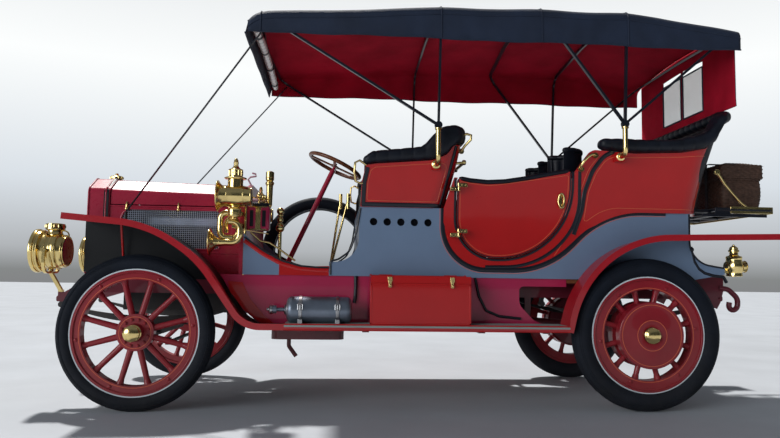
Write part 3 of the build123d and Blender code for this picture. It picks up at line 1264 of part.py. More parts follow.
os.makedirs("parts", exist_ok=True)
for name, piece in PIECES.items():
    piece.part.label = name
    export_step(piece.part, f"parts/{name}.step")
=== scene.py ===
import math

import bpy
import bmesh
from mathutils import Matrix, Vector
from mathutils.bvhtree import BVHTree


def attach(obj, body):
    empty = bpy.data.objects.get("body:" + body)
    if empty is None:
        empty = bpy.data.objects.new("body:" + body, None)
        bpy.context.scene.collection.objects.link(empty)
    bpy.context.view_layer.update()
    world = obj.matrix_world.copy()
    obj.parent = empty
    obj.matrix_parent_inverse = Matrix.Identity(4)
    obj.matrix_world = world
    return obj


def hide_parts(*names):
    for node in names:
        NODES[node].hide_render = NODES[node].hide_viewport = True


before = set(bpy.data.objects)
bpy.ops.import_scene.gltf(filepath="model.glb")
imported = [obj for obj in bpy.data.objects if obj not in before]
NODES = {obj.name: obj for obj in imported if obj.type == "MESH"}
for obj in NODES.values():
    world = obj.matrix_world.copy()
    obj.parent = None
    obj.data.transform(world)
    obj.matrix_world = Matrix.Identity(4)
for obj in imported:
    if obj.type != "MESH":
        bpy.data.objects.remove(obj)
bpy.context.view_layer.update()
MM = 0.001
AXLE_X = -1.699
FRONT = Vector((-1, 0, 0))
BACK = Vector((1, 0, 0))
UP = Vector((0, 0, 1))
SIDES = ((-1, "left"), (1, "right"))


def at(x, y, z):
    """Point in metres from millimetres behind the front axle, off the centre line and above ground."""
    return Vector((AXLE_X + x * MM, y * MM, z * MM))


# Materials

def wire(tree, kind, **values):
    """New shader node with some of its inputs or properties set."""
    node = tree.nodes.new(kind)
    for key, value in values.items():
        if key in node.inputs:
            node.inputs[key].default_value = value
        else:
            setattr(node, key, value)
    return node


def shade(rgb, factor):
    return (min(rgb[0] * factor, 1), min(rgb[1] * factor, 1), min(rgb[2] * factor, 1), 1)


def noise(tree, vector, scale, detail=4.0, rough=0.5):
    node = wire(tree, "ShaderNodeTexNoise", Scale=scale, Detail=detail, Roughness=rough)
    tree.links.new(vector, node.inputs["Vector"])
    return node.outputs["Fac"]


def ramp(tree, fac, stops):
    node = tree.nodes.new("ShaderNodeValToRGB")
    element = node.color_ramp.elements
    while len(element) < len(stops):
        element.new(0.5)
    for slot, (place, color) in zip(element, stops):
        slot.position = place
        slot.color = color
    tree.links.new(fac, node.inputs["Fac"])
    return node.outputs["Color"]


def feed(tree, socket, value):
    """Link another socket to an input, or set it to a plain value."""
    if hasattr(value, "is_linked"):
        tree.links.new(value, socket)
    else:
        socket.default_value = value


def mix(tree, fac, a, b):
    """Blend of two colours; each is a socket or a tuple, fac a socket or a number."""
    node = tree.nodes.new("ShaderNodeMix")
    node.data_type = "RGBA"
    for index, value in ((0, fac), (6, a), (7, b)):
        feed(tree, node.inputs[index], value)
    return node.outputs[2]


def calc(tree, kind, *values):
    """Arithmetic on sockets and numbers."""
    node = tree.nodes.new("ShaderNodeMath")
    node.operation = kind
    for socket, value in zip(node.inputs, values):
        feed(tree, socket, value)
    return node.outputs[0]


def times(tree, a, b):
    return calc(tree, "MULTIPLY", a, b)


def within(tree, value):
    """The value kept between 0 and 1."""
    return calc(tree, "MINIMUM", calc(tree, "MAXIMUM", value, 0.0), 1.0)


def away(tree, value, middle=0.0):
    """Distance of a value from a middle."""
    return calc(tree, "ABSOLUTE", calc(tree, "SUBTRACT", value, middle))


def split(tree, vector):
    """The X, Y and Z outputs of a vector."""
    node = tree.nodes.new("ShaderNodeSeparateXYZ")
    tree.links.new(vector, node.inputs[0])
    return node.outputs


def spread(tree, fac, low, high):
    """0 to 1 stretched over low to high."""
    node = wire(tree, "ShaderNodeMapRange", **{"To Min": low, "To Max": high})
    tree.links.new(fac, node.inputs["Value"])
    return node.outputs["Result"]


DUST = (0.30, 0.26, 0.21, 1)
DUST_TOP = 0.75


def material(name, rgb, rough=0.4, metal=0.0, coat=0.0, vary=0.10, scale=6.0, bump=0.0, bump_scale=300.0,
             dust=0.0, sheen=0.0, pattern=None, second=None, mask=None, shine=0.25, alpha=1.0):
    """Procedural finish: colour that wanders, roughness that wanders, a fine bump, dust low down.

    pattern(tree, place) gives a height socket in place of the fine bump. second is another colour, without
    the coat, laid where mask(tree, place, normal) gives 1.
    """
    mat = bpy.data.materials.new(name)
    mat.use_nodes = True
    tree = mat.node_tree
    bsdf = tree.nodes["Principled BSDF"]
    coord = tree.nodes.new("ShaderNodeTexCoord")
    place = coord.outputs["Object"]
    big = noise(tree, place, scale)

    def wander(base):
        return ramp(tree, big, ((0.3, shade(base, 1 - vary)), (0.7, shade(base, 1 + vary))))

    color = wander(rgb)
    if mask:
        where = mask(tree, place, coord.outputs["Normal"])
        color = mix(tree, where, color, wander(second))
        coat = times(tree, calc(tree, "SUBTRACT", 1.0, where), coat)
    worn = spread(tree, noise(tree, place, scale * 7, 6.0, 0.6), rough * 0.75, min(rough * 1.3, 1))
    if dust:
        low = calc(tree, "SUBTRACT", 1.0, calc(tree, "DIVIDE", split(tree, place)["Z"], DUST_TOP))
        grime = times(tree, calc(tree, "MAXIMUM", low, 0.06), noise(tree, place, 14.0, 8.0, 0.7))
        grime = calc(tree, "MINIMUM", times(tree, grime, dust * 1.6), 1.0)
        color = mix(tree, grime, color, DUST)
        worn = calc(tree, "MINIMUM", calc(tree, "ADD", worn, times(tree, grime, 0.5)), 1.0)
    for key, value in (("Base Color", color), ("Roughness", worn), ("Metallic", metal), ("Coat Weight", coat),
                       ("Coat Roughness", 0.04), ("Specular IOR Level", shine), ("Sheen Weight", sheen),
                       ("Alpha", alpha)):
        feed(tree, bsdf.inputs[key], value)
    if pattern or bump:
        height = pattern(tree, place) if pattern else noise(tree, place, bump_scale, 3.0)
        lift = wire(tree, "ShaderNodeBump", Strength=bump, Distance=0.001)
        tree.links.new(height, lift.inputs["Height"])
        tree.links.new(lift.outputs["Normal"], bsdf.inputs["Normal"])
    return mat


def ripple(tree, value, pitch):
    """Wave along one coordinate with that pitch in metres."""
    return calc(tree, "SINE", times(tree, value, 2 * math.pi / pitch))


def weave(pitch):
    """Height of a plain weave of that pitch, from crossed waves on each axis pair."""
    def build(tree, place):
        x, y, z = [ripple(tree, value, pitch) for value in split(tree, place)]
        crossed = times(tree, x, calc(tree, "ADD", y, z))
        return calc(tree, "ADD", crossed, noise(tree, place, 0.3 / pitch, 2.0))
    return build


def grain(size):
    """Height of pebbled leather with cells of that size in metres."""
    def build(tree, place):
        cell = wire(tree, "ShaderNodeTexVoronoi", Scale=1 / size)
        tree.links.new(place, cell.inputs["Vector"])
        crease = times(tree, noise(tree, place, 18.0, 5.0, 0.6), 1.6)
        return calc(tree, "ADD", cell.outputs["Distance"], crease)
    return build


def planks(pitch, axis_name):
    """Height and streaks of grooves along one axis."""
    def build(tree, place):
        groove = ripple(tree, split(tree, place)[axis_name], pitch)
        return calc(tree, "ADD", groove, noise(tree, place, 120.0, 4.0))
    return build


def side_mask(test):
    """Mask from position and normal: test gets the tree, the split position and the split normal."""
    return lambda tree, place, normal: test(tree, split(tree, place), split(tree, normal))


def inside_faces(tree, p, n):
    """Faces of the coachwork that look inward."""
    across = calc(tree, "LESS_THAN", times(tree, p["Y"], n["Y"]), -0.03)
    ahead = calc(tree, "LESS_THAN", n["X"], -0.6)
    middle = calc(tree, "LESS_THAN", away(tree, p["Y"]), 0.52)
    return calc(tree, "MAXIMUM", across, times(tree, ahead, middle))


FENDER_LIP = 0.7985


def fender_painted_shade(limit):
    """Painted shade: the inner strip of the fenders and everything under them, short of the outer lip."""
    def test(tree, p, n):
        under = times(tree, calc(tree, "LESS_THAN", n["Z"], -0.15),
                      calc(tree, "LESS_THAN", away(tree, p["Y"]), FENDER_LIP))
        return calc(tree, "MAXIMUM", calc(tree, "LESS_THAN", away(tree, p["Y"]), limit), under)
    return side_mask(test)


def board_upper(tree, p, n):
    """Top of the running boards and the upper half of their edge."""
    return calc(tree, "GREATER_THAN", p["Z"], 0.503)


def valance_painted_shade(tree, p, n):
    """The front fenders' inner sheets, which share a node with the side aprons; painted near black as the
    shade under the fenders.
    """
    return calc(tree, "LESS_THAN", away(tree, p["Y"]), 0.45)


def soft_edge(tree, value, gone, full):
    """1 up to full, falling to 0 at gone."""
    return within(tree, calc(tree, "DIVIDE", calc(tree, "SUBTRACT", gone, value), gone - full))


def painted_reflection_band(tree, p, n):
    """Painted reflection: a pale band on the dark backing, seen through the wire mesh of the bonnet."""
    return times(tree, soft_edge(tree, away(tree, p["Z"], 1.143), 0.030, 0.020),
                 soft_edge(tree, away(tree, p["X"], -1.53), 0.245, 0.205))


RED = (0.43, 0.006, 0.007)
CRIMSON = (0.40, 0.018, 0.050)
FENDER_RED = (0.38, 0.007, 0.016)
MAROON = (0.40, 0.015, 0.072)
GREY = (0.150, 0.215, 0.325)
BLACK = (0.008, 0.010, 0.017)
NAVY = (0.006, 0.008, 0.014)
BRASS = (0.80, 0.62, 0.26)

M = {
    "red": material("coach_red", RED, 0.3, coat=0.35, vary=0.05, second=(0.012, 0.012, 0.015),
                    mask=side_mask(inside_faces), bump=0.02, bump_scale=40),
    "red_plain": material("sill_red", RED, 0.3, coat=0.35, vary=0.05, bump=0.02, bump_scale=40),
    "crimson": material("bonnet_crimson", CRIMSON, 0.28, coat=0.45, vary=0.06, bump=0.02, bump_scale=40),
    # the fenders' second colours, near black in front and dark red behind, are painted shade under the
    # fenders
    "fender": material("fender_crimson", FENDER_RED, 0.3, coat=0.4, vary=0.06, dust=0.18,
                       second=(0.010, 0.008, 0.010), mask=fender_painted_shade(0.612)),
    "fender_rear": material("fender_crimson_rear", FENDER_RED, 0.3, coat=0.4, vary=0.06, dust=0.18,
                            second=(0.05, 0.006, 0.010), mask=fender_painted_shade(0.10)),
    # the apron node's near-black second colour is painted shade on the fenders' inner sheets
    "maroon": material("apron_maroon", MAROON, 0.36, coat=0.4, vary=0.07, dust=0.12,
                       second=(0.002, 0.003, 0.005), mask=side_mask(valance_painted_shade)),
    "chassis": material("chassis_wine", (0.13, 0.008, 0.022), 0.45, coat=0.4, vary=0.15, dust=0.25),
    "wheel": material("wheel_red", (0.26, 0.006, 0.016), 0.42, coat=0.3, vary=0.10, dust=0.12),
    "grey": material("body_grey", GREY, 0.32, coat=0.4, vary=0.04, bump=0.02, bump_scale=30),
    "tank": material("tank_grey", (0.17, 0.20, 0.25), 0.36, metal=0.75, coat=0.1, vary=0.12, scale=12,
                     bump=0.05, bump_scale=60),
    "board": material("board_crimson", FENDER_RED, 0.34, coat=0.4, vary=0.06, dust=0.2,
                      second=(0.25, 0.31, 0.30), mask=side_mask(board_upper)),
    "black": material("black_enamel", BLACK, 0.3, coat=0.2, vary=0.2, dust=0.05),
    "iron": material("black_iron", (0.020, 0.020, 0.024), 0.5, vary=0.3, dust=0.4, bump=0.2, bump_scale=180),
    "brass": material("polished_brass", BRASS, 0.17, metal=1.0, vary=0.16, scale=9, bump=0.05, bump_scale=35),
    "brass_dull": material("dull_brass", (0.55, 0.38, 0.15), 0.32, metal=1.0, vary=0.22, scale=14,
                           bump=0.1, bump_scale=120),
    "leather": material("black_leather", NAVY, 0.42, vary=0.3, scale=12, pattern=grain(0.0035), bump=0.35),
    "rubber": material("tyre_rubber", (0.006, 0.009, 0.016), 0.66, vary=0.2, dust=0.05, scale=10, shine=0.15,
                       bump=0.15, bump_scale=160),
    "white": material("tyre_white_line", (0.60, 0.66, 0.70), 0.55, vary=0.05, dust=0.1),
    "canvas": material("canopy_canvas", (0.012, 0.020, 0.042), 0.62, vary=0.22, scale=5, sheen=0.04,
                       pattern=weave(0.0022), bump=0.22),
    "lining": material("canopy_lining", (0.36, 0.008, 0.024), 0.9, vary=0.2, scale=5, shine=0.05,
                       pattern=weave(0.0016), bump=0.25),
    "wood": material("oiled_wood", (0.16, 0.055, 0.022), 0.4, coat=0.3, vary=0.3, scale=20,
                     pattern=planks(0.09, "X"), bump=0.1),
    "wicker": material("brown_wicker", (0.060, 0.032, 0.022), 0.62, vary=0.35, scale=40, bump=0.4,
                       bump_scale=220),
    "orange": material("pinstripe_orange", (0.62, 0.12, 0.05), 0.4, coat=0.3, vary=0.05),
    "core": material("radiator_core", (0.055, 0.045, 0.035), 0.45, metal=0.8, vary=0.3,
                     pattern=planks(0.008, "Y"), bump=0.6),
    # the backing's pale second colour is a painted reflection band
    "dark": material("dark_backing", (0.016, 0.018, 0.026), 0.6, vary=0.3, second=(0.34, 0.40, 0.52),
                     mask=side_mask(painted_reflection_band)),
    "dark_plain": material("vent_shade", (0.006, 0.006, 0.008), 0.9, vary=0.3, bump=0.1, shine=0.05),
    "mesh": material("mesh_wire", (0.50, 0.57, 0.68), 0.35, metal=0.5, vary=0.12),
    "steel": material("plain_steel", (0.42, 0.42, 0.43), 0.28, metal=1.0, vary=0.15, scale=30),
    "glass": material("lamp_glass", (0.72, 0.74, 0.72), 0.06, vary=0.03, coat=1.0, alpha=0.45),
    "amber": material("lamp_ruby", (0.42, 0.02, 0.01), 0.10, vary=0.05, coat=1.0),
    "celluloid": material("storm_curtain", (0.62, 0.62, 0.58), 0.22, vary=0.10, scale=10, coat=0.6,
                          bump=0.15, bump_scale=25),
    "pink": material("faded_bracket", (0.46, 0.24, 0.30), 0.4, vary=0.08, coat=0.4),
}


# Mesh building: sizes in millimetres, points as vectors in metres

def turns(count, phase=0.0):
    """Evenly spaced angles round a full turn."""
    return [2 * math.pi * (k + phase) / count for k in range(count)]


def circle(centre, axis, radius, count=48):
    """Points round an axis."""
    axis = Vector(axis).normalized()
    side = axis.orthogonal().normalized()
    up = axis.cross(side)
    return [centre + (side * math.cos(t) + up * math.sin(t)) * (radius * MM) for t in turns(count)]


def heading(points, i, closed):
    """Direction of a line at one of its points."""
    ahead = points[(i + 1) % len(points)] if closed or i + 1 < len(points) else points[i]
    behind = points[i - 1] if closed or i > 0 else points[i]
    return (ahead - behind).normalized()


class Shape:
    """Vertices and faces gathered from sweeps, lathes and plates before they become one piece."""

    def __init__(self):
        self.verts = []
        self.faces = []

    def rings(self, rings, closed=False, caps=True):
        """Skin over equal rings of points."""
        base = len(self.verts)
        count = len(rings[0])
        for ring in rings:
            self.verts.extend(ring)
        for i in range(len(rings) if closed else len(rings) - 1):
            a = base + i * count
            b = base + ((i + 1) % len(rings)) * count
            for k in range(count):
                n = (k + 1) % count
                self.faces.append((a + k, a + n, b + n, b + k))
        if caps and not closed:
            self.faces.append(tuple(base + k for k in reversed(range(count))))
            end = base + (len(rings) - 1) * count
            self.faces.append(tuple(end + k for k in range(count)))
        return self

    def tube(self, path, radius, sides=10, closed=False):
        """Round bar along points."""
        rings = []
        side = heading(path, 0, closed).orthogonal()
        for i, point in enumerate(path):
            way = heading(path, i, closed)
            side = (side - way * side.dot(way)).normalized()
            up = way.cross(side)
            rings.append([point + (side * math.cos(t) + up * math.sin(t)) * (radius * MM)
                          for t in turns(sides)])
        return self.rings(rings, closed)

    def pipe(self, points, radius, sides=10, hand=1):
        """Round bar through (station, side, height) points, mirrored for a negative hand."""
        return self.tube([at(x, hand * y, z) for x, y, z in points], radius, sides)

    def hoop(self, centre, axis, radius, bar):
        """Ring of round bar about an axis."""
        return self.tube(circle(centre, axis, radius), bar, 8, closed=True)

    def band(self, path, normals, profile, closed=False):
        """Profile of (sideways, outward) points along a path on a surface."""
        rings = []
        for i, (point, normal) in enumerate(zip(path, normals)):
            across = heading(path, i, closed).cross(normal).normalized()
            rings.append([point + across * (a * MM) + normal * (b * MM) for a, b in profile])
        return self.rings(rings, closed)

    def lathe(self, centre, axis, profile, sides=32, filled=False):
        """Profile of (radius, along) turned about an axis; one that stays off it makes a ring."""
        axis = Vector(axis)
        rings = [circle(centre + axis * (reach * MM), axis, max(radius, 0.01), sides)
                 for radius, reach in profile]
        hollow = profile[0][0] > 2 and profile[-1][0] > 2 and not filled
        return self.rings(rings, closed=hollow)

    def box(self, low, high, turn=Matrix.Identity(3)):
        """Box between two corners, turned about its middle."""
        centre = (low + high) / 2
        half = (high - low) / 2
        base = len(self.verts)
        for sx, sy, sz in ((-1, -1, -1), (1, -1, -1), (1, 1, -1), (-1, 1, -1),
                           (-1, -1, 1), (1, -1, 1), (1, 1, 1), (-1, 1, 1)):
            self.verts.append(centre + turn @ Vector((sx * half.x, sy * half.y, sz * half.z)))
        for face in ((0, 3, 2, 1), (4, 5, 6, 7), (0, 1, 5, 4), (1, 2, 6, 5), (2, 3, 7, 6), (3, 0, 4, 7)):
            self.faces.append(tuple(base + k for k in face))
        return self

    def block(self, a, b):
        """Box between two (station, side, height) corners."""
        low, high = zip(*(sorted(pair) for pair in zip(a, b)))
        return self.box(at(*low), at(*high))

    def grid(self, rows):
        """Open sheet through rows of points."""
        base = len(self.verts)
        count = len(rows[0])
        for row in rows:
            self.verts.extend(row)
        for i in range(len(rows) - 1):
            for k in range(count - 1):
                a = base + i * count + k
                self.faces.append((a, a + 1, a + 1 + count, a + count))

    def piece(self, name, mat, body="chassis", slot=None, bevel=0.0, smooth=35, replaces=()):
        """The gathered mesh as one named piece that rides on a body."""
        mesh = bpy.data.meshes.new(name)
        mesh.from_pydata([tuple(v) for v in self.verts], [], self.faces)
        mesh.validate()
        tidy = bmesh.new()
        tidy.from_mesh(mesh)
        bmesh.ops.remove_doubles(tidy, verts=tidy.verts, dist=1e-5)
        bmesh.ops.recalc_face_normals(tidy, faces=tidy.faces)
        tidy.to_mesh(mesh)
        tidy.free()
        for polygon in mesh.polygons:
            polygon.use_smooth = True
        mesh.set_sharp_from_angle(angle=math.radians(smooth))
        mesh.materials.append(M[mat])
        obj = bpy.data.objects.new(name, mesh)
        bpy.context.scene.collection.objects.link(obj)
        if bevel:
            edge = obj.modifiers.new("edges", "BEVEL")
            edge.width = bevel
            edge.segments = 2
            edge.limit_method = "ANGLE"
            edge.angle_limit = math.radians(40)
        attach(obj, body)
        if replaces:
            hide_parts(*replaces)
        return obj


def rounded(rows, closed=False, step=12.0):
    """Points along straight runs with arcs at the corners; rows are (first, second, radius)."""
    points = []
    for i, (u, v, radius) in enumerate(rows):
        here = Vector((u, v))
        if radius <= 0 or (not closed and i in (0, len(rows) - 1)):
            points.append(here)
            continue
        a = (Vector(rows[i - 1][:2]) - here).normalized()
        b = (Vector(rows[(i + 1) % len(rows)][:2]) - here).normalized()
        half = math.acos(max(-1, min(1, a.dot(b)))) / 2
        centre = here + (a + b).normalized() * (radius / math.sin(half))
        start = here + a * (radius / math.tan(half)) - centre
        turn = math.pi - 2 * half
        if a.x * b.y - a.y * b.x > 0:
            turn = -turn
        pieces = max(3, int(abs(turn) * radius / step))
        for k in range(pieces + 1):
            points.append(centre + Matrix.Rotation(turn * k / pieces, 2) @ start)
    return points


def resample(points, step, closed=False):
    """Points at an even spacing along a line."""
    line = list(points) + ([points[0]] if closed else [])
    lengths = [0.0]
    for a, b in zip(line, line[1:]):
        lengths.append(lengths[-1] + (b - a).length)
    count = max(2, round(lengths[-1] / step))
    out = []
    k = 0
    for i in range(count + (0 if closed else 1)):
        goal = lengths[-1] * i / count
        while k < len(lengths) - 2 and lengths[k + 1] < goal:
            k += 1
        span = lengths[k + 1] - lengths[k] or 1
        out.append(line[k].lerp(line[k + 1], (goal - lengths[k]) / span))
    return out


def beside(points, distance, closed=False):
    """The line moved sideways, to its left for a positive distance."""
    ways = [heading(points, i, closed) for i in range(len(points))]
    return [point + Vector((-way.y, way.x)) * distance for point, way in zip(points, ways)]


def along(table, value):
    """Value of a piecewise line of (place, value) rows."""
    if value <= table[0][0]:
        return table[0][1]
    for (a, u), (b, w) in zip(table, table[1:]):
        if value <= b:
            return u + (w - u) * (value - a) / (b - a)
    return table[-1][1]


TREES = {}
# side distance from which rays look inward, clear of the car
OUTSIDE = 1300


def skin(node, hand, x, z):
    """Outer face of a node on one side at a station and height, as (point, normal)."""
    if node not in TREES:
        mesh = NODES[node].data
        TREES[node] = BVHTree.FromPolygons([v.co for v in mesh.vertices], [p.vertices for p in mesh.polygons])
    hit, normal, _, _ = TREES[node].ray_cast(at(x, hand * OUTSIDE, z), Vector((0, -hand, 0)))
    if hit is None:
        return None
    return hit, (-normal if normal.y * hand < 0 else normal)


def on_skin(node, hand, line, fallback):
    """Points and normals where a (station, height) line lies on a node's side."""
    path, normals = [], []
    for point in line:
        found = skin(node, hand, *point)
        if found is None and fallback:
            found = skin(fallback, hand, *point)
        if found is None and not path:
            continue
        if found is None:
            found = (at(point.x, 0, point.y) + Vector((0, path[-1].y, 0)), normals[-1])
        path.append(found[0])
        normals.append(found[1])
    return path, normals


def half_round(width, height):
    """Section of a moulding: a low arch sunk 1 mm into what carries it."""
    w, h = width / 2, height
    return [(-w, -1), (-w, 0.2 * h), (-0.7 * w, 0.8 * h), (0, h), (0.7 * w, 0.8 * h), (w, 0.2 * h), (w, -1)]


def trim(name, node, rows, width, height, mat, shift=0, fallback=None, closed=False, body="chassis",
         hands=(-1, 1)):
    """Moulding or stripe along a line on the outer face of a node, on each side named."""
    shape = Shape()
    for hand in hands:
        line = resample(rounded(rows, closed), 12, closed)
        if shift:
            line = beside(line, shift, closed)
        path, normals = on_skin(node, hand, line, fallback)
        shape.band(path, normals, half_round(width, height), closed)
    shape.piece(name, mat, body)


# Finishes for the nodes

FINISH = {
    "chassis": "chassis_frame board_irons rear_axle boiler_casing",
    "iron": "front_axle springs engine_block knuckle_left knuckle_right tie_rod pitman_arm drag_link",
    "rubber": "spare_tyres tyre_front_left tyre_front_right tyre_rear_left tyre_rear_right",
    "crimson": "steering_column front_shell bonnet_sides bonnet_left bonnet_right dash",
    "wood": "steering_wheel floor",
    "core": "radiator_core",
    "dark": "bonnet_grilles",
    "red_plain": "entry_sills toolbox toolbox_lid",
    "grey": "lower_body",
    "red": "front_seat_shell tonneau_shell door_left door_right",
    "leather": "front_seat rear_seat jump_seats top_straps",
    "board": "running_boards",
    "maroon": "side_aprons",
    "fender": "front_fenders",
    "fender_rear": "rear_fenders",
    "tank": "gas_tank",
    "brass": "headlamps lamp_brackets side_lamps horn tail_lamp brake_levers dash_fittings",
    "canvas": "top_fabric rear_curtain",
    "black": "top_bows luggage_rack",
    "wicker": "hamper",
    "wheel": "wheel_front_left wheel_front_right wheel_rear_left wheel_rear_right",
}
for finish_name, node_names in FINISH.items():
    for node_name in node_names.split():
        node_mesh = NODES[node_name].data
        node_mesh.materials.clear()
        node_mesh.materials.append(M[finish_name])


# Mouldings and coach lines

SCOOP = [(1840, 1243, 0), (1840, 860, 270), (2510, 858, 555), (2895, 1243, 600), (3300, 1243, 0)]
DOOR = [(1925, 1434, 0), (1925, 933, 250), (2663, 933, 465), (2663, 1497, 0)]
COWL = [(598, 1040, 0), (723, 953, 200), (830, 898, 200), (943, 868, 100), (1054, 860, 30), (1118, 860, 0)]
STRIPE = (3.5, 1.6, "orange")
TRIMS = (
    # name, node, line, width, height, finish, sideways shift, node that carries it on, closed
    ("scoop_moulding", "lower_body", SCOOP, 30, 7, "black", -2, "tonneau_shell"),
    ("scoop_stripe", "lower_body", SCOOP, *STRIPE, -22, "tonneau_shell"),
    ("door_edge_moulding", "tonneau_shell", DOOR, 15, 5, "black", -13),
    ("door_outer_line", "tonneau_shell",
     [(2110, 876, 0), (2545, 884, 500), (2722, 1225, 430), (2718, 1530, 0)], 21, 6, "black"),
    ("quarter_line", "tonneau_shell",
     [(2685, 1092, 0), (2736, 1240, 150), (2754, 1370, 200), (2802, 1505, 200), (2875, 1603, 120),
      (2960, 1640, 0)], 28, 7, "black"),
    ("quarter_stripe", "tonneau_shell",
     [(2748, 1165, 12), (2895, 1269, 300), (3505, 1269, 14), (3592, 1626, 14), (3390, 1608, 300),
      (3072, 1596, 300), (2900, 1596, 110), (2828, 1490, 200), (2780, 1370, 200), (2760, 1240, 150)],
     *STRIPE, 0, None, True),
    ("quarter_inner_stripe", "tonneau_shell",
     [(2560, 955, 0), (2696, 1165, 200), (2726, 1370, 200), (2775, 1515, 200), (2850, 1612, 0)], *STRIPE),
    ("quarter_rear_band", "tonneau_shell", [(3526, 1247, 0), (3618, 1648, 0)], 30, 6, "black"),
    ("seat_panel_bottom", "front_seat_shell", [(1318, 1258, 0), (1826, 1258, 0)], 28, 7, "black"),
    ("seat_panel_front", "front_seat_shell", [(1328, 1250, 0), (1332, 1392, 90), (1352, 1488, 0)],
     26, 7, "black"),
    ("seat_panel_rear", "front_seat_shell", [(1818, 1250, 0), (1868, 1456, 60), (1912, 1640, 0)],
     26, 7, "black"),
    ("seat_panel_stripe", "front_seat_shell",
     [(1350, 1282, 12), (1798, 1282, 12), (1838, 1440, 30), (1858, 1530, 30), (1760, 1520, 120),
      (1400, 1490, 20), (1372, 1470, 20), (1354, 1392, 60)], *STRIPE, 0, None, True),
    ("cowl_piping", "lower_body", COWL, 12, 8, "black", -4, "entry_sills"),
    ("cowl_red_strip", "lower_body", COWL, 24, 3, "red_plain", -22, "entry_sills"),
    ("seat_base_piping", "lower_body",
     [(1132, 812, 0), (1130, 898, 20), (1178, 908, 60), (1250, 960, 90), (1290, 1080, 120), (1312, 1235, 0)],
     12, 7, "black"),
    ("tail_piping", "lower_body", [(3461, 1240, 0), (3461, 908, 158), (3600, 905, 40), (3688, 892, 0)],
     12, 7, "black"),
)
DOOR_STRIPE = [(1944, 1415, 0), (1944, 950, 232), (2645, 950, 448), (2645, 1472, 8), (2130, 1390, 500)]
DOOR_EDGE = [(1930, 1430, 0), (1930, 938, 245), (2658, 938, 460), (2658, 1492, 0)]
for row in TRIMS:
    trim(*row)
for hand, name in SIDES:
    door, rides = "door_" + name, {"body": name + "_door", "hands": (hand,)}
    trim(door + "_stripe", door, DOOR_STRIPE, 3.5, 1.4, "orange", closed=True, **rides)
    trim(door + "_edge", door, DOOR_EDGE, 7, 3, "black", **rides)


# Soft parts: rolls, linings and cushions of the U-shaped tubs

# height, half width and station of the back, for each tub
SEAT_TUB = ((1243, 602, 1848), (1456, 634, 1912), (1800, 676, 1974))
REAR_TUB = ((850, 590, 3520), (1243, 602, 3545), (1950, 700, 3752))
JUMP_TUB = ((1200, 180, 2845), (1700, 180, 2845))


def ease(value, low, high):
    """0 up to low, 1 from high, smooth between."""
    t = max(0.0, min(1.0, (value - low) / (high - low)))
    return t * t * (3 - 2 * t)


def tub_plan(sections, corner, front, inset, z):
    """Plan line of the tub at a height from the left front round the back, as (point, outward normal)."""
    half = along([(h, w) for h, w, _ in sections], z) - inset
    rear = along([(h, r) for h, _, r in sections], z) - inset
    radius = max(corner - inset, 8)
    run = rear - radius - front
    points = [(Vector((front + run * k / 40, -half)), Vector((0, -1))) for k in range(41)]
    for k in range(1, 21):
        way = Vector((math.sin(math.pi * k / 40), -math.cos(math.pi * k / 40)))
        points.append((Vector((rear - radius, radius - half)) + way * radius, way))
    points += [(Vector((rear, (half - radius) * (k / 20 - 1))), Vector((1, 0))) for k in range(1, 41)]
    for k in range(1, 21):
        way = Vector((math.cos(math.pi * k / 40), math.sin(math.pi * k / 40)))
        points.append((Vector((rear - radius, half - radius)) + way * radius, way))
    return points + [(Vector((front + run * (1 - k / 40), half)), Vector((0, 1))) for k in range(1, 41)]


def tub_place(sections, corner, front, inset, z, share):
    """Point and outward normal at a share of the plan line, and the line's length."""
    plan = tub_plan(sections, corner, front, inset, z)
    lengths = [0.0]
    for (a, _), (b, _) in zip(plan, plan[1:]):
        lengths.append(lengths[-1] + (b - a).length)
    goal = share * lengths[-1]
    for k in range(len(plan) - 1):
        if lengths[k + 1] >= goal - 1e-9:
            t = (goal - lengths[k]) / (lengths[k + 1] - lengths[k] or 1)
            return (plan[k][0].lerp(plan[k + 1][0], t), plan[k][1].lerp(plan[k + 1][1], t).normalized(),
                    lengths[-1])
    return (*plan[-1], lengths[-1])


def power(value, exponent):
    """Signed power, which squares up a circle's sine or cosine."""
    return math.copysign(abs(value) ** exponent, value)


def roll(name, sections, corner, front, bottom, top, reach_out, reach_in, replaces, pleat=78, count=420, y=0):
    """Padded roll over the panels' top edge: bottom and top are heights by station."""
    rings = []
    for i in range(count + 1):
        share = i / count
        z = 1600.0
        for _ in range(4):
            point, normal, length = tub_place(sections, corner, front, 11, z, share)
            low = along(bottom, point.x)
            high = along(top, point.x)
            z = (low + high) / 2
        end = min(share, 1 - share) * length
        swell = 0.90 + 0.10 * abs(math.sin(math.pi * share * length / pleat)) ** 0.45
        swell *= 0.35 + 0.65 * math.sqrt(max(0.0, 1 - (1 - min(end / 40, 1)) ** 2))
        ring = []
        for t in turns(28):
            c, s = power(math.cos(t), 0.85), power(math.sin(t), 0.85)
            spot = point + normal * ((reach_out if c > 0 else reach_in) * c * swell)
            ring.append(at(spot.x, spot.y + y, z + (high - low) / 2 * s * swell * (1.0 if s > 0 else 0.96)))
        rings.append(ring)
    Shape().rings(rings).piece(name, "leather", smooth=60, replaces=replaces)


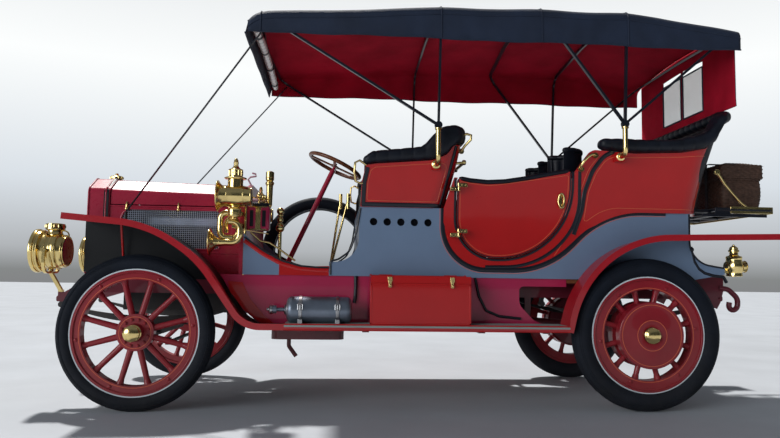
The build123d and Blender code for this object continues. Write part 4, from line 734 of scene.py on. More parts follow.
def channelled(name, sections, corner, front, low, high, inset, thick, pleat=84.0, count=360, y=0):
    """Padded lining of a tub's inside with upright channels."""
    outer, inner = [], []
    for j in range(27):
        v = j / 26
        plump = math.sin(math.pi * (0.12 + 0.80 * v)) ** 0.7
        a, b = [], []
        for i in range(count + 1):
            share = i / count
            point = tub_place(sections, corner, front, inset, low + (high[0][1] - low) * v, share)[0]
            z = low + (along(high, point.x) - low) * v
            point, normal, length = tub_place(sections, corner, front, inset, z, share)
            wave = abs(math.sin(math.pi * share * length / pleat)) ** 0.5
            end = min(share, 1 - share) * length
            place = point - normal * (thick * (0.35 + 0.45 * wave * plump + 0.2 * plump) * ease(end, -12, 30))
            a.append(at(place.x, place.y + y, z))
            b.append(at(point.x, point.y + y, z))
        inner.append(a)
        outer.append(b)
    shape = Shape()
    for rows in (inner, [list(reversed(row)) for row in outer], [inner[0], outer[0]], [inner[-1], outer[-1]],
                 [[row[0] for row in side] for side in (inner, outer)],
                 [[row[-1] for row in side] for side in (inner, outer)]):
        shape.grid(rows)
    shape.piece(name, "leather", smooth=60)


def cushion(name, x0, x1, y0, y1, z0, z1, channels, crown=26):
    """Stuffed cushion with channels, a crowned top and a piped edge."""
    nx, ny, nz = 40, 120, 10
    middle_x, middle_y = (x0 + x1) / 2, (y0 + y1) / 2

    def place(u, v, w):
        """u and v from -1 to 1 across with softened corners, w from 0 at the bottom to 1 at the top."""
        big = max((abs(u) ** 12 + abs(v) ** 12) ** (1 / 12), 1)
        u, v = u / big, v / big
        rise = max((1 - abs(u) ** 4) * (1 - abs(v) ** 4), 0)
        phase = math.pi * v * channels / 2 + (math.pi / 2 if channels % 2 else 0)
        lift = crown * rise ** 0.6 - 10 * (1 - abs(math.sin(phase)) ** 0.5) * rise ** 0.3
        return at(middle_x + u * (x1 - x0) / 2, middle_y + v * (y1 - y0) / 2,
                  z0 + (z1 - crown - z0) * w + (lift if w == 1 else 0))

    shape = Shape()
    shape.grid([[place(2 * i / nx - 1, 2 * k / ny - 1, 1) for k in range(ny + 1)] for i in range(nx + 1)])
    border = [(2 * i / nx - 1, -1) for i in range(nx)] + [(1, 2 * k / ny - 1) for k in range(ny)]
    border += [(1 - 2 * i / nx, 1) for i in range(nx)] + [(-1, 1 - 2 * k / ny) for k in range(ny)]
    centre = at(middle_x, middle_y, z0)
    walls = []
    for j in range(nz + 1):
        bulge = 1 + 0.018 * math.sin(math.pi * j / nz)
        wall = []
        for u, v in border:
            point = place(u, v, 0).lerp(place(u, v, 1), j / nz)
            wall.append(Vector((centre.x + (point.x - centre.x) * bulge,
                                centre.y + (point.y - centre.y) * bulge, point.z)))
        walls.append(wall)
    base = len(shape.verts)
    shape.rings(walls, caps=False)
    shape.faces.append(tuple(range(base, base + len(border)))[::-1])
    shape.piece(name, "leather", smooth=60)
    piping = Shape().tube([p + Vector((0, 0, 0.002)) for p in walls[-1]], 5, 8, closed=True)
    piping.piece(name + "_piping", "leather", smooth=60)


FRONT_LOW = ((1300, 1497), (1400, 1511), (1700, 1536), (1790, 1549), (1850, 1582), (1900, 1646), (2000, 1662))
FRONT_HIGH = ((1300, 1560), (1342, 1566), (1382, 1593), (1519, 1608), (1686, 1628), (1725, 1662),
              (1761, 1704), (1803, 1749), (1867, 1772), (2000, 1776))
REAR_LOW = ((2835, 1640), (2900, 1636), (3072, 1622), (3390, 1636), (3540, 1662), (3600, 1706), (3650, 1820),
            (3700, 1852), (3900, 1856))
REAR_HIGH = ((2790, 1700), (2835, 1712), (3011, 1716), (3164, 1712), (3350, 1720), (3499, 1756), (3560, 1785),
             (3640, 1880), (3715, 1935), (3900, 1938))
FRONT_BACK = ((1300, 1520), (1700, 1560), (1790, 1640), (1850, 1690), (2000, 1720))
REAR_BACK = ((2860, 1650), (3072, 1660), (3400, 1670), (3600, 1760), (3700, 1880), (3900, 1890))

roll("front_seat_roll", SEAT_TUB, 120, 1322, FRONT_LOW, FRONT_HIGH, 38, 62, ["front_seat"])
channelled("front_seat_back", SEAT_TUB, 120, 1330, 1300, FRONT_BACK, 23, 62)
cushion("front_seat_cushion", 1335, 1770, -535, 535, 1243.5, 1432, 12)
roll("rear_seat_roll", REAR_TUB, 150, 2838, REAR_LOW, REAR_HIGH, 42, 74, ["rear_seat"])
channelled("rear_seat_back", REAR_TUB, 150, 2860, 1250, REAR_BACK, 23, 72)
cushion("rear_seat_cushion", 2955, 3475, -535, 535, 1180.5, 1362, 12)

for hand, name in SIDES:
    middle = hand * 290
    y0, y1 = middle - 178, middle + 178
    cushion("jump_cushion_" + name, 2352, 2698, y0, y1, 1152, 1262, 5, 18)
    channelled("jump_back_" + name, JUMP_TUB, 179, 2665, 1215, [(0, 1664)], 2, 44, 58, 150, middle)
    roll("jump_roll_" + name, JUMP_TUB, 179, 2662, [(0, 1648)], [(0, 1688)], 16, 32,
         ["jump_seats"] if hand < 0 else (), 58, 150, middle)
    legs = Shape()
    for y in (y0 + 40, y1 - 40):
        legs.pipe([(2500, y, 1140), (2660, y, 1150), (2700, y, 1215), (2790, y, 1400)], 9)
        legs.pipe([(2400, y, 1140), (2560, y, 830)], 10)
        legs.pipe([(2640, y, 1140), (2480, y, 830)], 10)
    legs.piece("jump_frame_" + name, "brass_dull")


# Folding top: canvas outside, red lining inside, valances, seams and straps

TOP_LINE = ((600, 2374), (622, 2398), (655, 2420), (720, 2434), (900, 2448), (1200, 2468), (1500, 2488),
            (1791, 2505), (2120, 2516), (2426, 2520), (2700, 2522), (2990, 2520), (3200, 2504), (3400, 2480),
            (3570, 2455), (3735, 2428))
BOW_STATIONS = (676, 1791, 2430, 2990, 3690)
TOP_CROWN = 60.0
TOP_SIDE = 770.0
TOP_BEND = 55.0
STATIONS = [600 + (3735 - 600) * k / 150 for k in range(151)]


def top_height(x):
    """Height of the top at its side edge, with the canvas sagging a little between the bows."""
    z = along(TOP_LINE, x)
    for a, b in zip(BOW_STATIONS, BOW_STATIONS[1:]):
        if a < x < b:
            z -= 9 * math.sin(math.pi * (x - a) / (b - a)) ** 2
    return z


def crowned(y, edge=TOP_SIDE):
    """Rise of the top over its side edge at a distance from the centre line."""
    return TOP_CROWN * (1 - (y / edge) ** 2)


def hem(x):
    """Height of the side valances' lower edge."""
    return 2287 + 4 * math.sin(x / 190.0) + 2.5 * math.sin(x / 63.0)


def top_row(x, inset=0.0):
    """Line across the top at a station, from one valance's hem over the crown to the other's."""
    side_z = top_height(x)
    half = TOP_SIDE - inset
    left = []
    for k in range(13):
        t = k / 12
        out = (3.0 * math.sin(x / 47.0) + 2.0 * math.sin(x / 19.0 + 1.3)) * (1 - t)
        left.append((-half - out * 0.6, hem(x) + (side_z - TOP_BEND - hem(x)) * t - inset * 0.2))
    for k in range(1, 9):
        a = math.pi / 2 * k / 8
        left.append((TOP_BEND * (1 - math.cos(a)) - half,
                     side_z + TOP_BEND * (math.sin(a) * 1.02 - 1) - inset))
    ys = [(TOP_BEND - half) * (1 - k / 22) for k in range(1, 44)]
    over = [(y, side_z + crowned(y, half) - inset) for y in ys]
    return [at(x, y, z) for y, z in left + over + [(-y, z) for y, z in reversed(left)]]


def cloth(shape, name, thickness, offset, replaces=(), lined=False):
    """Sheet of canvas given its thickness, with the red lining on its second side."""
    obj = shape.piece(name, "canvas", smooth=50, replaces=replaces)
    solid = obj.modifiers.new("cloth_thickness", "SOLIDIFY")
    solid.thickness = thickness
    solid.offset = offset
    if lined:
        obj.data.materials.append(M["lining"])
        solid.material_offset = 1
    return obj


FLAP_HALF = 766


def flap_top(y):
    """Height of the front flap's upper edge, which dips at its corners."""
    return 2374 + crowned(y) - 26 * (abs(y) / FLAP_HALF) ** 14


def flap_hem(y):
    """Height of the front flap's lower edge."""
    return 2276 + 3 * math.sin(y / 70)


canopy = Shape()
canopy.grid([top_row(x) for x in STATIONS])
top = cloth(canopy, "top_canvas", 0.006, -1, ["top_fabric"], lined=True)

front_flap = Shape()
rows = []
for t in (j / 8 for j in range(9)):
    rows.append([at(602 - 17 * t + 2 * math.sin(y / 45.0) * t, y,
                    flap_top(y) + (flap_hem(y) - flap_top(y)) * t)
                 for y in (2 * FLAP_HALF * k / 60 - FLAP_HALF for k in range(61))])
front_flap.grid(rows)
flap = cloth(front_flap, "top_front_valance", 0.005, 0)

seams = Shape()
for x in BOW_STATIONS[:-1]:
    seams.tube(top_row(x, -1.5), 4.5, 8)
for hand in (-1, 1):
    seams.pipe([(x, TOP_SIDE + 1.5, hem(x) + 2) for x in STATIONS], 5, 8, hand)
    seams.pipe([(x, TOP_SIDE + 1, top_height(x) - 62) for x in STATIONS], 3.5, 8, hand)
seams.pipe([(599.5, y, flap_top(y)) for y in range(-764, 765, 12)], 5, 8)
seams.pipe([(583, y, flap_hem(y)) for y in range(-764, 765, 12)], 5, 8)
seams.piece("top_seams", "canvas", smooth=60)

CURTAIN_Z0, CURTAIN_Z1 = 1946, 2428
LIGHTS = ((-295, -15), (15, 295))
LIGHT_Z0, LIGHT_Z1 = 2010, 2330
curtain, lights, borders = Shape(), Shape(), Shape()
ys = sorted(set([-690 + 1380 * k / 70 for k in range(71)] + [y for light in LIGHTS for y in light]))
zs = sorted(set([CURTAIN_Z0 + (CURTAIN_Z1 - CURTAIN_Z0) * k / 40 for k in range(41)] + [LIGHT_Z0, LIGHT_Z1]))
for z0, z1 in zip(zs, zs[1:]):
    for y0, y1 in zip(ys, ys[1:]):
        if any(a < (y0 + y1) / 2 < b for a, b in LIGHTS) and LIGHT_Z0 < (z0 + z1) / 2 < LIGHT_Z1:
            continue
        corners = []
        for y, z in ((y0, z0), (y1, z0), (y1, z1), (y0, z1)):
            share = (z - CURTAIN_Z0) / (CURTAIN_Z1 - CURTAIN_Z0)
            fold = 3.0 * math.sin(y / 60.0) * (1 - share) * ease(2000 - z, 0, 60)
            corners.append(at(3741 + fold, y, z + crowned(y) * share - 3 * share))
        curtain.grid([corners[:2], corners[:1:-1]])
back = cloth(curtain, "rear_curtain_cloth", 0.005, 0, ["rear_curtain"], lined=True)
for a, b in LIGHTS:
    lights.block((3740, a - 6, LIGHT_Z0 - 6), (3742, b + 6, LIGHT_Z1 + 6))
    loop = [Vector(p) for p in ((a, LIGHT_Z0), (b, LIGHT_Z0), (b, LIGHT_Z1), (a, LIGHT_Z1))]
    line = [at(3738, *p.lerp(q, k / 8)) for p, q in zip(loop, loop[1:] + loop[:1]) for k in range(8)]
    borders.tube(line, 6, 8, closed=True)
lights.piece("rear_curtain_lights", "glass", slot="canopy_cloth")
borders.piece("rear_curtain_borders", "canvas")


def storm_line(y):
    """Centre of the rolled storm curtain behind the front bow."""
    return at(640, y, 2324 + 30 * (1 - (y / 700) ** 2))


rings = []
for i, y in enumerate(range(-680, 681, 20)):
    swell = 25 + 3 * math.sin(i * 1.9) + (0 if 1 < i < 67 else -6)
    dents = {4: 0.92, 5: 0.92, 12: 0.95}
    rings.append([storm_line(y) + Vector((math.cos(t), 0, math.sin(t))) * (swell * dents.get(k, 1) * MM)
                  for k, t in enumerate(turns(18))])
Shape().rings(rings).piece("storm_curtain_roll", "celluloid", smooth=60)
ties = Shape()
for y in (-560, -190, 190, 560):
    ties.rings([[storm_line(y) + Vector((math.cos(t) * r, w, math.sin(t) * r)) * MM
                 for r, w in ((27, -11), (30.5, -11), (30.5, 11), (27, 11))] for t in turns(24)], closed=True)
ties.piece("storm_curtain_ties", "leather")


# Wheels: white line, tread, stripes, hub bolts and caps

TRACK_HALF = 711
WHEELS = (
    # body, side, station, tyre radius, tyre half width, white line radius, felloe radius, felloe half width
    ("wheel_fl", -1, 0, 457, 51, 366, 310, 34), ("wheel_fr", 1, 0, 457, 51, 366, 310, 34),
    ("wheel_rl", -1, 3100, 470, 63.5, 350, 280, 40), ("wheel_rr", 1, 3100, 470, 63.5, 350, 280, 40),
)
FRONT_STRIPES = ((319, 34), (92, 29))
REAR_STRIPES = ((289, 40), (92, 94.5), (186, 90))
VALVE_TURN = 0.26


def wheel_ring(centre, out, radius, side, count=96, phase=0.0):
    """Points round a wheel, radius and distance to its outer side in millimetres."""
    return [centre + out * (side * MM) + Vector((math.cos(t), 0, math.sin(t))) * (radius * MM)
            for t in turns(count, phase)]


for body, hand, x, tyre_r, tyre_half, line_r, felloe_r, felloe_half in WHEELS:
    rear = x > 0
    centre = at(x, hand * TRACK_HALF, tyre_r)
    out = Vector((0, hand, 0))
    section_r = tyre_r - tyre_half
    line = Shape().lathe(centre, out, [(line_r - 8, felloe_half - 4), (line_r - 6, felloe_half + 3.5),
                                       (line_r + 7, felloe_half + 6), (line_r + 11, felloe_half + 1)], 96)
    line.piece("white_line_" + body, "white", body, smooth=50)

    ribs = Shape()
    for turn, bar in ((24, 2.56), (34, 2.56), (-52, 1.92)):
        a = math.radians(turn)
        ring = wheel_ring(centre, out, section_r + tyre_half * math.sin(a), tyre_half * math.cos(a))
        ribs.tube(ring, bar, 6, closed=True)
    for k in range(5):
        side = (13 * k - 26) * (1.2 if rear else 1.0)
        ring = wheel_ring(centre, out, section_r + math.sqrt(tyre_half ** 2 - side ** 2), side)
        ribs.tube(ring, 2.2, 6, closed=True)
    ribs.piece("tyre_ribs_" + body, "rubber", body, smooth=60)

    stripe = Shape()
    for r, face in REAR_STRIPES if rear else FRONT_STRIPES:
        stripe.lathe(centre, out, [(r - 1.8, face - 1), (r - 1.8, face + 0.8), (r + 1.8, face + 0.8),
                                   (r + 1.8, face - 1)], 96)
    stripe.piece("felloe_stripe_" + body, "orange", body, smooth=40)

    bolts = Shape()
    for foot in [] if rear else wheel_ring(centre, out, 78, 27, 12, 0.5):
        bolts.lathe(foot, out, [(10.5, 0), (10.5, 8), (8.5, 10), (0, 10.8)], 6)
        bolts.lathe(foot, out, [(5.5, 10), (5.5, 14), (0, 14.5)], 8)
    for foot in wheel_ring(centre, out, felloe_r + 26, felloe_half - 1, 6, 0.125):
        bolts.lathe(foot, out, [(11, 0), (10, 5), (6, 8), (0, 9)], 10)
    bolts.piece("hub_bolts_" + body, "wheel", body, smooth=40)

    if rear:
        drum = Shape().lathe(centre, out, [
            (50, 88.5), (60, 94), (95, 94), (120, 89.5), (180, 89.5), (200, 89.5), (203.5, 87), (203.5, 30),
            (199, 30), (199, 80), (50, 80)], 64)
        drum.piece("drum_face_" + body, "wheel", body, smooth=30)
    cap_in = 90 if rear else 64
    cap = Shape().lathe(centre, out, [(42.6, cap_in), (48, cap_in + 2), (48, cap_in + 6), (43.2, cap_in + 9),
                                      (43.2, 106), (46, 108), (46, 112), (40, 116), (30, 121.5), (16, 125),
                                      (0, 125.5)], 48)
    nut_half = Vector((0.003, 0.003, 0.003))
    for t in turns(8):
        way = Vector((math.cos(t), 0, math.sin(t)))
        middle = centre + out * 0.1085 + way * 0.0445
        cap.box(middle - nut_half, middle + nut_half, Matrix((way.cross(out), out, way)).transposed())
    cap.piece("hub_cap_" + body, "brass", body)
    way = Vector((math.cos(VALVE_TURN), 0, math.sin(VALVE_TURN)))
    valve = Shape().tube([centre + way * ((felloe_r - 2) * MM), centre + way * ((felloe_r - 30) * MM)], 5, 8)
    valve.piece("tyre_valve_" + body, "brass", body)

    rim_edge = Shape()
    for side in (1, -1):
        ring = wheel_ring(centre, out, 341 if rear else 353, side * (felloe_half + 5))
        rim_edge.tube(ring, 4, 8, closed=True)
    rim_edge.piece("rim_edge_" + body, "wheel", body, smooth=60)
    collars = Shape()
    for t in turns(12, 0.5):
        way = Vector((math.sin(t), 0, math.cos(t)))
        collars.lathe(centre + way * ((felloe_r - 26) * MM), way,
                      [(17.5, 0), (18.5, 6), (21.5, 22), (22.5, 28)], 16)
    collars.piece("spoke_collars_" + body, "wheel", body, smooth=60)


# Lamps, horn and brass work

HEAD_Y = 420
HEAD_Z = 935
HEAD_HOOPS = ((-711, 130, 5), (-696, 133, 4), (-683, 129, 3), (-670, 128, 3), (-663, 108, 3),
              (-632, 106, 2.5), (-597, 110, 3), (-571, 112, 3.5), (-562, 104, 3), (-536, 100, 3.5))
HEAD_SKIN = (
    # station, radius along the headlamp's barrel
    (-712, 124), (-712, 135), (-708, 137), (-696, 135), (-692, 128), (-670, 128), (-667, 126), (-664, 106),
    (-632, 104), (-600, 106), (-597, 109), (-592, 112), (-570, 112), (-566, 110), (-564, 104), (-550, 103),
    (-536, 100), (-526, 92),
)
SIDE_X, SIDE_Y, SIDE_Z = 545, 690, 1280
SIDE_HOOPS = ((1160, 37, 3), (1174, 41, 2.5), (1198, 41, 3), (1388, 63, 5), (1398, 42, 3), (1420, 41, 2.5),
              (1440, 40, 4), (1464, 14, 3))
SIDE_BARREL_HOOPS = ((442, 91, 4), (500, 63, 2.5), (598, 62, 3), (642, 54, 4))
SIDE_SKIN = (
    # station, radius along the side lamp's barrel, which flares to its front rim
    (442, 80), (440, 92), (444, 93), (450, 84), (458, 73), (468, 65), (484, 62), (500, 63), (522, 66),
    (545, 67), (572, 66), (600, 62), (616, 58), (628, 55), (644, 54),
)
PROUD = 0.7

for hand, name in SIDES:
    y = hand * HEAD_Y
    lamp = Shape()
    for x, r, bar in HEAD_HOOPS:
        lamp.hoop(at(x, y, HEAD_Z), FRONT, r, bar)
    for t in turns(8, 0.5):
        side, high = y + 130 * math.cos(t), HEAD_Z + 130 * math.sin(t)
        lamp.pipe([(-704, side, high), (-716, side, high)], 4.5, 8)
    lamp.lathe(at(-607, y, 1040), UP, [(50, 0), (44, 10), (43.2, 24), (57.5, 30), (58, 40), (57.5, 44),
                                       (57.5, 60), (50, 66), (30, 70), (0, 72)])
    for t in turns(14):
        x, side = -607 + 58 * math.cos(t), y + 58 * math.sin(t)
        lamp.pipe([(x, side, 1082), (x, side, 1098)], 3, 6)
    for way in (-1, 1):
        lamp.pipe([(-621, y + way * 108, HEAD_Z), (-621, y + way * 134, HEAD_Z)], 13, 12)
    lamp.lathe(at(-621, y, 822), (0, 0, -1), [(12, -10), (16, 0), (16, 12), (10, 20), (0, 24)], 24)
    lamp.pipe([(-556 + 34 * math.cos(t), y, 1034 + 30 * math.sin(t))
               for t in (math.pi * k / 14 for k in range(-1, 16))], 4.5, 8)
    lamp.lathe(at(-712, y, HEAD_Z), FRONT, [(r + PROUD, -(x + 712)) for x, r in HEAD_SKIN], 72, filled=True)
    lamp.piece("headlamp_trim_" + name, "brass", smooth=45)
    glass = Shape().lathe(at(-700, y, HEAD_Z), FRONT, [(117.5, 0.5), (112, 4), (90, 8.5), (60, 12),
                                                       (30, 13.5), (0, 14)], 48)
    glass.piece("headlamp_glass_" + name, "glass", smooth=60)
    # the crimson disc on the lamp's brass back is a painted reflection of the red body
    back = Shape().lathe(at(-526, y, HEAD_Z), BACK, [(90, -3), (88, 2), (70, 4), (0, 5)], 40)
    back.piece("headlamp_back_painted_reflection_" + name, "crimson", smooth=50)
    Shape().hoop(at(-526, y, HEAD_Z), BACK, 92, 5).piece("headlamp_bezel_" + name, "brass", smooth=50)

    y = hand * SIDE_Y
    lamp = Shape()
    for z, r, bar in SIDE_HOOPS:
        lamp.hoop(at(SIDE_X, y, z), UP, r, bar)
    for t in turns(12):
        x, side = SIDE_X + 41.5 * math.cos(t), y + 41.5 * math.sin(t)
        lamp.pipe([(x, side, 1404), (x, side, 1434)], 3, 6)
    for x, r, bar in SIDE_BARREL_HOOPS:
        lamp.hoop(at(x, y, SIDE_Z), BACK, r, bar)
    lamp.lathe(at(SIDE_X, y, 1488), UP, [(10, 0), (14, 5), (12, 14), (5, 22), (0, 24)], 20)
    lamp.pipe([(566, 665, 1178), (566, 585, 1178)], 10, hand=hand)
    lamp.lathe(at(442, y, SIDE_Z), BACK, [(r + PROUD, x - 442) for x, r in SIDE_SKIN], 64, filled=True)
    lamp.piece("side_lamp_trim_" + name, "brass", smooth=45)
    lens = Shape().lathe(at(460, y, SIDE_Z), FRONT, [(61, 0), (56, 6), (30, 12), (0, 14)])
    lens.piece("side_lamp_lens_" + name, "glass", smooth=60)
    disc = Shape().lathe(at(644, y, SIDE_Z), BACK, [(49, -2), (48, 2), (40, 4), (0, 4)])
    disc.piece("side_lamp_back_" + name, "black", smooth=60)

HORN_BELL = (-646, 1000)
HORN_COILS = (
    # side distance, radius, line of the tube
    (620, 19, [(535, 1112, 0), (535, 1183, 40), (450, 1183, 40), (450, 1030, 40), (528, 1030, 0)]),
    (646, 20, [(505, 1128, 0), (574, 1128, 50), (574, 1000, 50), (470, 1000, 0)]),
    (584, 15, [(528, 1030, 0), (556, 1060, 30), (545, 1150, 30), (500, 1160, 30), (478, 1120, 30),
               (484, 1060, 0)]),
)
horn = Shape()
for side_y, radius, rows in HORN_COILS:
    horn.tube([at(p.x, -side_y, p.y) for p in resample(rounded(rows, False, 6), 7)], radius, 20)
horn.lathe(at(484, *HORN_BELL), FRONT, [(21, 0), (24, 30), (31, 50), (46, 66), (66, 78), (83, 86), (84, 89),
                                        (81, 90), (60, 79), (34, 60), (12, 36), (0, 34)], 48)
horn.hoop(at(396, *HORN_BELL), BACK, 81, 4)
horn.hoop(at(452, *HORN_BELL), BACK, 22, 3.5)
horn.pipe([(526, -646, 1092), (600, -600, 1081), (680, -600, 1068), (743, -600, 1059)], 3.5, 8)
for spot in ((448, -620, 1110), (536, -620, 1150), (574, -646, 1060)):
    horn.hoop(at(*spot), UP, 16, 3)
horn.pipe([(598, -575, 1225), (592, -575, 802)], 8, 12)
horn.piece("horn_trim", "brass", smooth=50)

cover = Shape()
for x0, x1 in ((589, 658), (672, 736)):
    cover.block((x0, -502, 1086), (x1, -398, 1242))
cover.piece("dash_box_cover", "maroon", bevel=0.014, smooth=50)
cap = Shape().block((625, -486, 1236), (729, -414, 1262))
for x in (612, 690):
    cap.block((x, -503, 1110), (x + 24, -500, 1214))
cap.piece("dash_box_cap", "black", bevel=0.005, smooth=50)
pipes = Shape()
pipes.pipe([(626, -540, 1071), (689, -540, 1016), (745, -540, 1006), (801, -540, 973), (909, -540, 896)], 6)
for x, z, r, bar in ((720, 1404, 27, 3), (720, 1440, 27, 2), (795, 1138, 16, 4), (795, 1194, 16, 4)):
    pipes.hoop(at(x, -370, z), UP, r, bar)
pipes.pipe([(664, -450, 1262), (700, -420, 1290), (718, -374, 1300)], 4, 8)
pipes.piece("dash_pipes", "brass", smooth=50)
handle = Shape()
handle.pipe([(611, -450, 1376), (589, -450, 1416), (604, -450, 1432), (640, -450, 1438), (636, -450, 1452),
             (614, -450, 1458)], 6)
handle.pipe([(591, -450, 1283), (660, -450, 1283)], 10)
handle.pipe([(611, -450, 1283), (611, -450, 1376)], 5)
handle.piece("dash_loop_handle", "pink", smooth=50)

TAIL_SIDE = (-540, 905)
tail = Shape()
tail.lathe(at(3790, -540, 838), UP, [
    (0, 0), (40, 0), (52, 4), (50, 12), (48.8, 20), (48.8, 30), (54, 45), (57.5, 67), (54, 92), (48.8, 108),
    (48.8, 118), (52, 122), (48, 134), (30, 140), (26.8, 146), (26.8, 160), (33, 164), (33, 176), (26.8, 180),
    (26.8, 190), (18, 198), (8, 204), (8, 210), (0, 214)])
tail.pipe([(3836, *TAIL_SIDE), (3862, *TAIL_SIDE)], 36, 24)
tail.hoop(at(3862, *TAIL_SIDE), BACK, 36, 4)
tail.pipe([(3742, *TAIL_SIDE), (3732, *TAIL_SIDE)], 30, 20)
tail.piece("tail_lamp_trim", "brass", smooth=45)
ruby = Shape().lathe(at(3861, *TAIL_SIDE), BACK, [(32, 0), (30, 5), (16, 10), (0, 11)], 24)
ruby.piece("tail_lamp_ruby", "amber", smooth=60)


# Irons, hoses and panels below the body

SCROLL = [(3770, 762, 0), (3840, 752, 60), (3906, 690, 60), (3902, 614, 40), (3834, 606, 30), (3846, 664, 0)]
END_PLATE = [(3430, 846), (3803, 842), (3801, 735), (3780, 662), (3755, 618), (3700, 640), (3560, 676),
             (3430, 690)]
APRON_FRONT = [(503, 764), (592, 758), (641, 658), (734, 552), (790, 509), (712, 509), (604, 592), (516, 700)]

irons, ends, hoses, panels, stays = Shape(), Shape(), Shape(), Shape(), Shape()
for hand in (-1, 1):
    irons.pipe([(3474, 580, 1028), (3480, 582, 985), (3494, 583, 930), (3522, 584, 885), (3560, 585, 858),
                (3620, 586, 842), (3690, 582, 836), (3716, 572, 800)], 11, 12, hand)
    irons.lathe(at(3474, hand * 590, 1010), (0, hand, 0), [(12, 0), (14, 6), (0, 12)], 14)
    ends.rings([[at(x, hand * y, z) for x, z in END_PLATE] for y in (386, 378)])
    ends.pipe([(p.x, 380, p.y) for p in resample(rounded(SCROLL), 8)], 18, 14, hand)
    hoses.pipe([(1290, 586, 806), (1292, 588, 740), (1290, 588, 680), (1284, 584, 640)], 12, hand=hand)
    hoses.pipe([(2046, 584, 806), (2072, 588, 690), (2118, 588, 600), (2200, 588, 566), (2340, 586, 552)], 9,
               hand=hand)
    panels.rings([[at(x, hand * y, z) for x, z in APRON_FRONT] for y in (583, 579)])
    stays.pipe([(-187, 470, 1106), (-181, 440, 960), (-176, 404, 800)], 8, hand=hand)
irons.piece("tail_irons", "black", smooth=50)
ends.piece("frame_end_scrolls", "chassis", bevel=0.002, smooth=45)
hoses.piece("apron_hoses", "black", smooth=50)
panels.piece("apron_front_panels", "red_plain", smooth=30)
stays.piece("fender_stays", "red_plain", smooth=50)


# Bonnet: woven wire in the side openings, beads, catches and the strap band

MESH_PITCH = 13
MESH_PROBES = 120
# the side opening's ends, foot and head, and its rounded front upper corner
MESH_X0, MESH_X1, MESH_Z0, MESH_Z1 = -235, 400, 962, 1222
MESH_ROUND = 70


def window_mask(x, z):
    """Whether a point lies in the bonnet's side opening."""
    if not (MESH_X0 <= x <= MESH_X1 and MESH_Z0 <= z <= MESH_Z1):
        return False
    dx, dz = x - MESH_X0 - MESH_ROUND, z - MESH_Z1 + MESH_ROUND
    return dx >= 0 or dz <= 0 or math.hypot(dx, dz) < MESH_ROUND


def flat_band(shape, points, y, hand, width, closed=False):
    """Moulding 4 mm high along (station, height) points on an upright plane."""
    path = [at(x, hand * y, z) for x, z in points]
    shape.band(path, [Vector((0, hand, 0))] * len(path), half_round(width, 4), closed)


for hand, name in SIDES:
    # black discs behind the vent holes are painted shade inside the body
    vents = Shape()
    for k in range(-2, 3):
        vents.lathe(at(1569 + 86.5 * k, hand * 566, 1150), (0, hand, 0), [(34, -2), (33, 2), (0, 2.5)], 24)
    vents.piece("vent_shade_discs_" + name, "dark_plain", smooth=60)
    wires = Shape()
    upright = [((x, MESH_Z0), (x, MESH_Z1)) for x in range(MESH_X0 + 6, MESH_X1, MESH_PITCH)]
    level = [((MESH_X0, z), (MESH_X1, z)) for z in range(MESH_Z0 + 6, MESH_Z1, MESH_PITCH)]
    for y, spans in ((326.6, upright), (328.4, level)):
        for (x0, z0), (x1, z1) in spans:
            spots = [(x0 + (x1 - x0) * k / MESH_PROBES, z0 + (z1 - z0) * k / MESH_PROBES)
                     for k in range(MESH_PROBES + 1)]
            inside = [spot for spot in spots if window_mask(*spot)]
            wires.pipe([(x, y, z) for x, z in (inside[0], inside[-1])], 1.7, 5, hand)
    wires.piece("bonnet_mesh_" + name, "mesh", smooth=60)
    edge = rounded([(MESH_X0, MESH_Z0, 20), (MESH_X1, MESH_Z0, 20), (MESH_X1, MESH_Z1, 20),
                    (MESH_X0, MESH_Z1, MESH_ROUND)], True, 8)
    border = Shape()
    flat_band(border, resample(edge, 12, True), 330.5, hand, 13, True)
    border.piece("bonnet_mesh_frame_" + name, "crimson", smooth=45)
    beads = Shape()
    for z in (1238, 940):
        flat_band(beads, [(x, z) for x in range(-306, 560, 24)], 330.2, hand, 9)
    beads.piece("bonnet_beads_" + name, "crimson", smooth=45)
    catches = Shape()
    for x in (-200, 130, 460):
        catches.pipe([(x, 331, 1226), (x, 340, 1232), (x, 340, 1256), (x, 333, 1264)], 5, 8, hand)
        catches.lathe(at(x, hand * 340, 1222), (0, 0, -1), [(0, -6), (9, -4), (11, 4), (7, 12), (0, 14)], 12)
    catches.piece("bonnet_catches_" + name, "brass", smooth=45)


def strap_line(lift):
    """Line of the strap over the bonnet, as (side, height) from the left over to the right."""
    shoulder, crown = 1340.436, 1424.436
    side, high = 330 + lift, crown + lift
    rows = [(-side, 930, 0), (-side, shoulder, 42), (-190, high, 42), (190, high, 42), (side, shoulder, 42),
            (side, 930, 0)]
    return resample(rounded(rows, False, 6), 14)


STRAP_X0, STRAP_X1 = -346, -315
strap = Shape()
strap.rings([[at(STRAP_X0, *outer), at(STRAP_X1, *outer), at(STRAP_X1, *inner), at(STRAP_X0, *inner)]
             for outer, inner in zip(strap_line(12.5), strap_line(8.5))])
strap.piece("bonnet_strap", "leather", bevel=0.001, smooth=40)

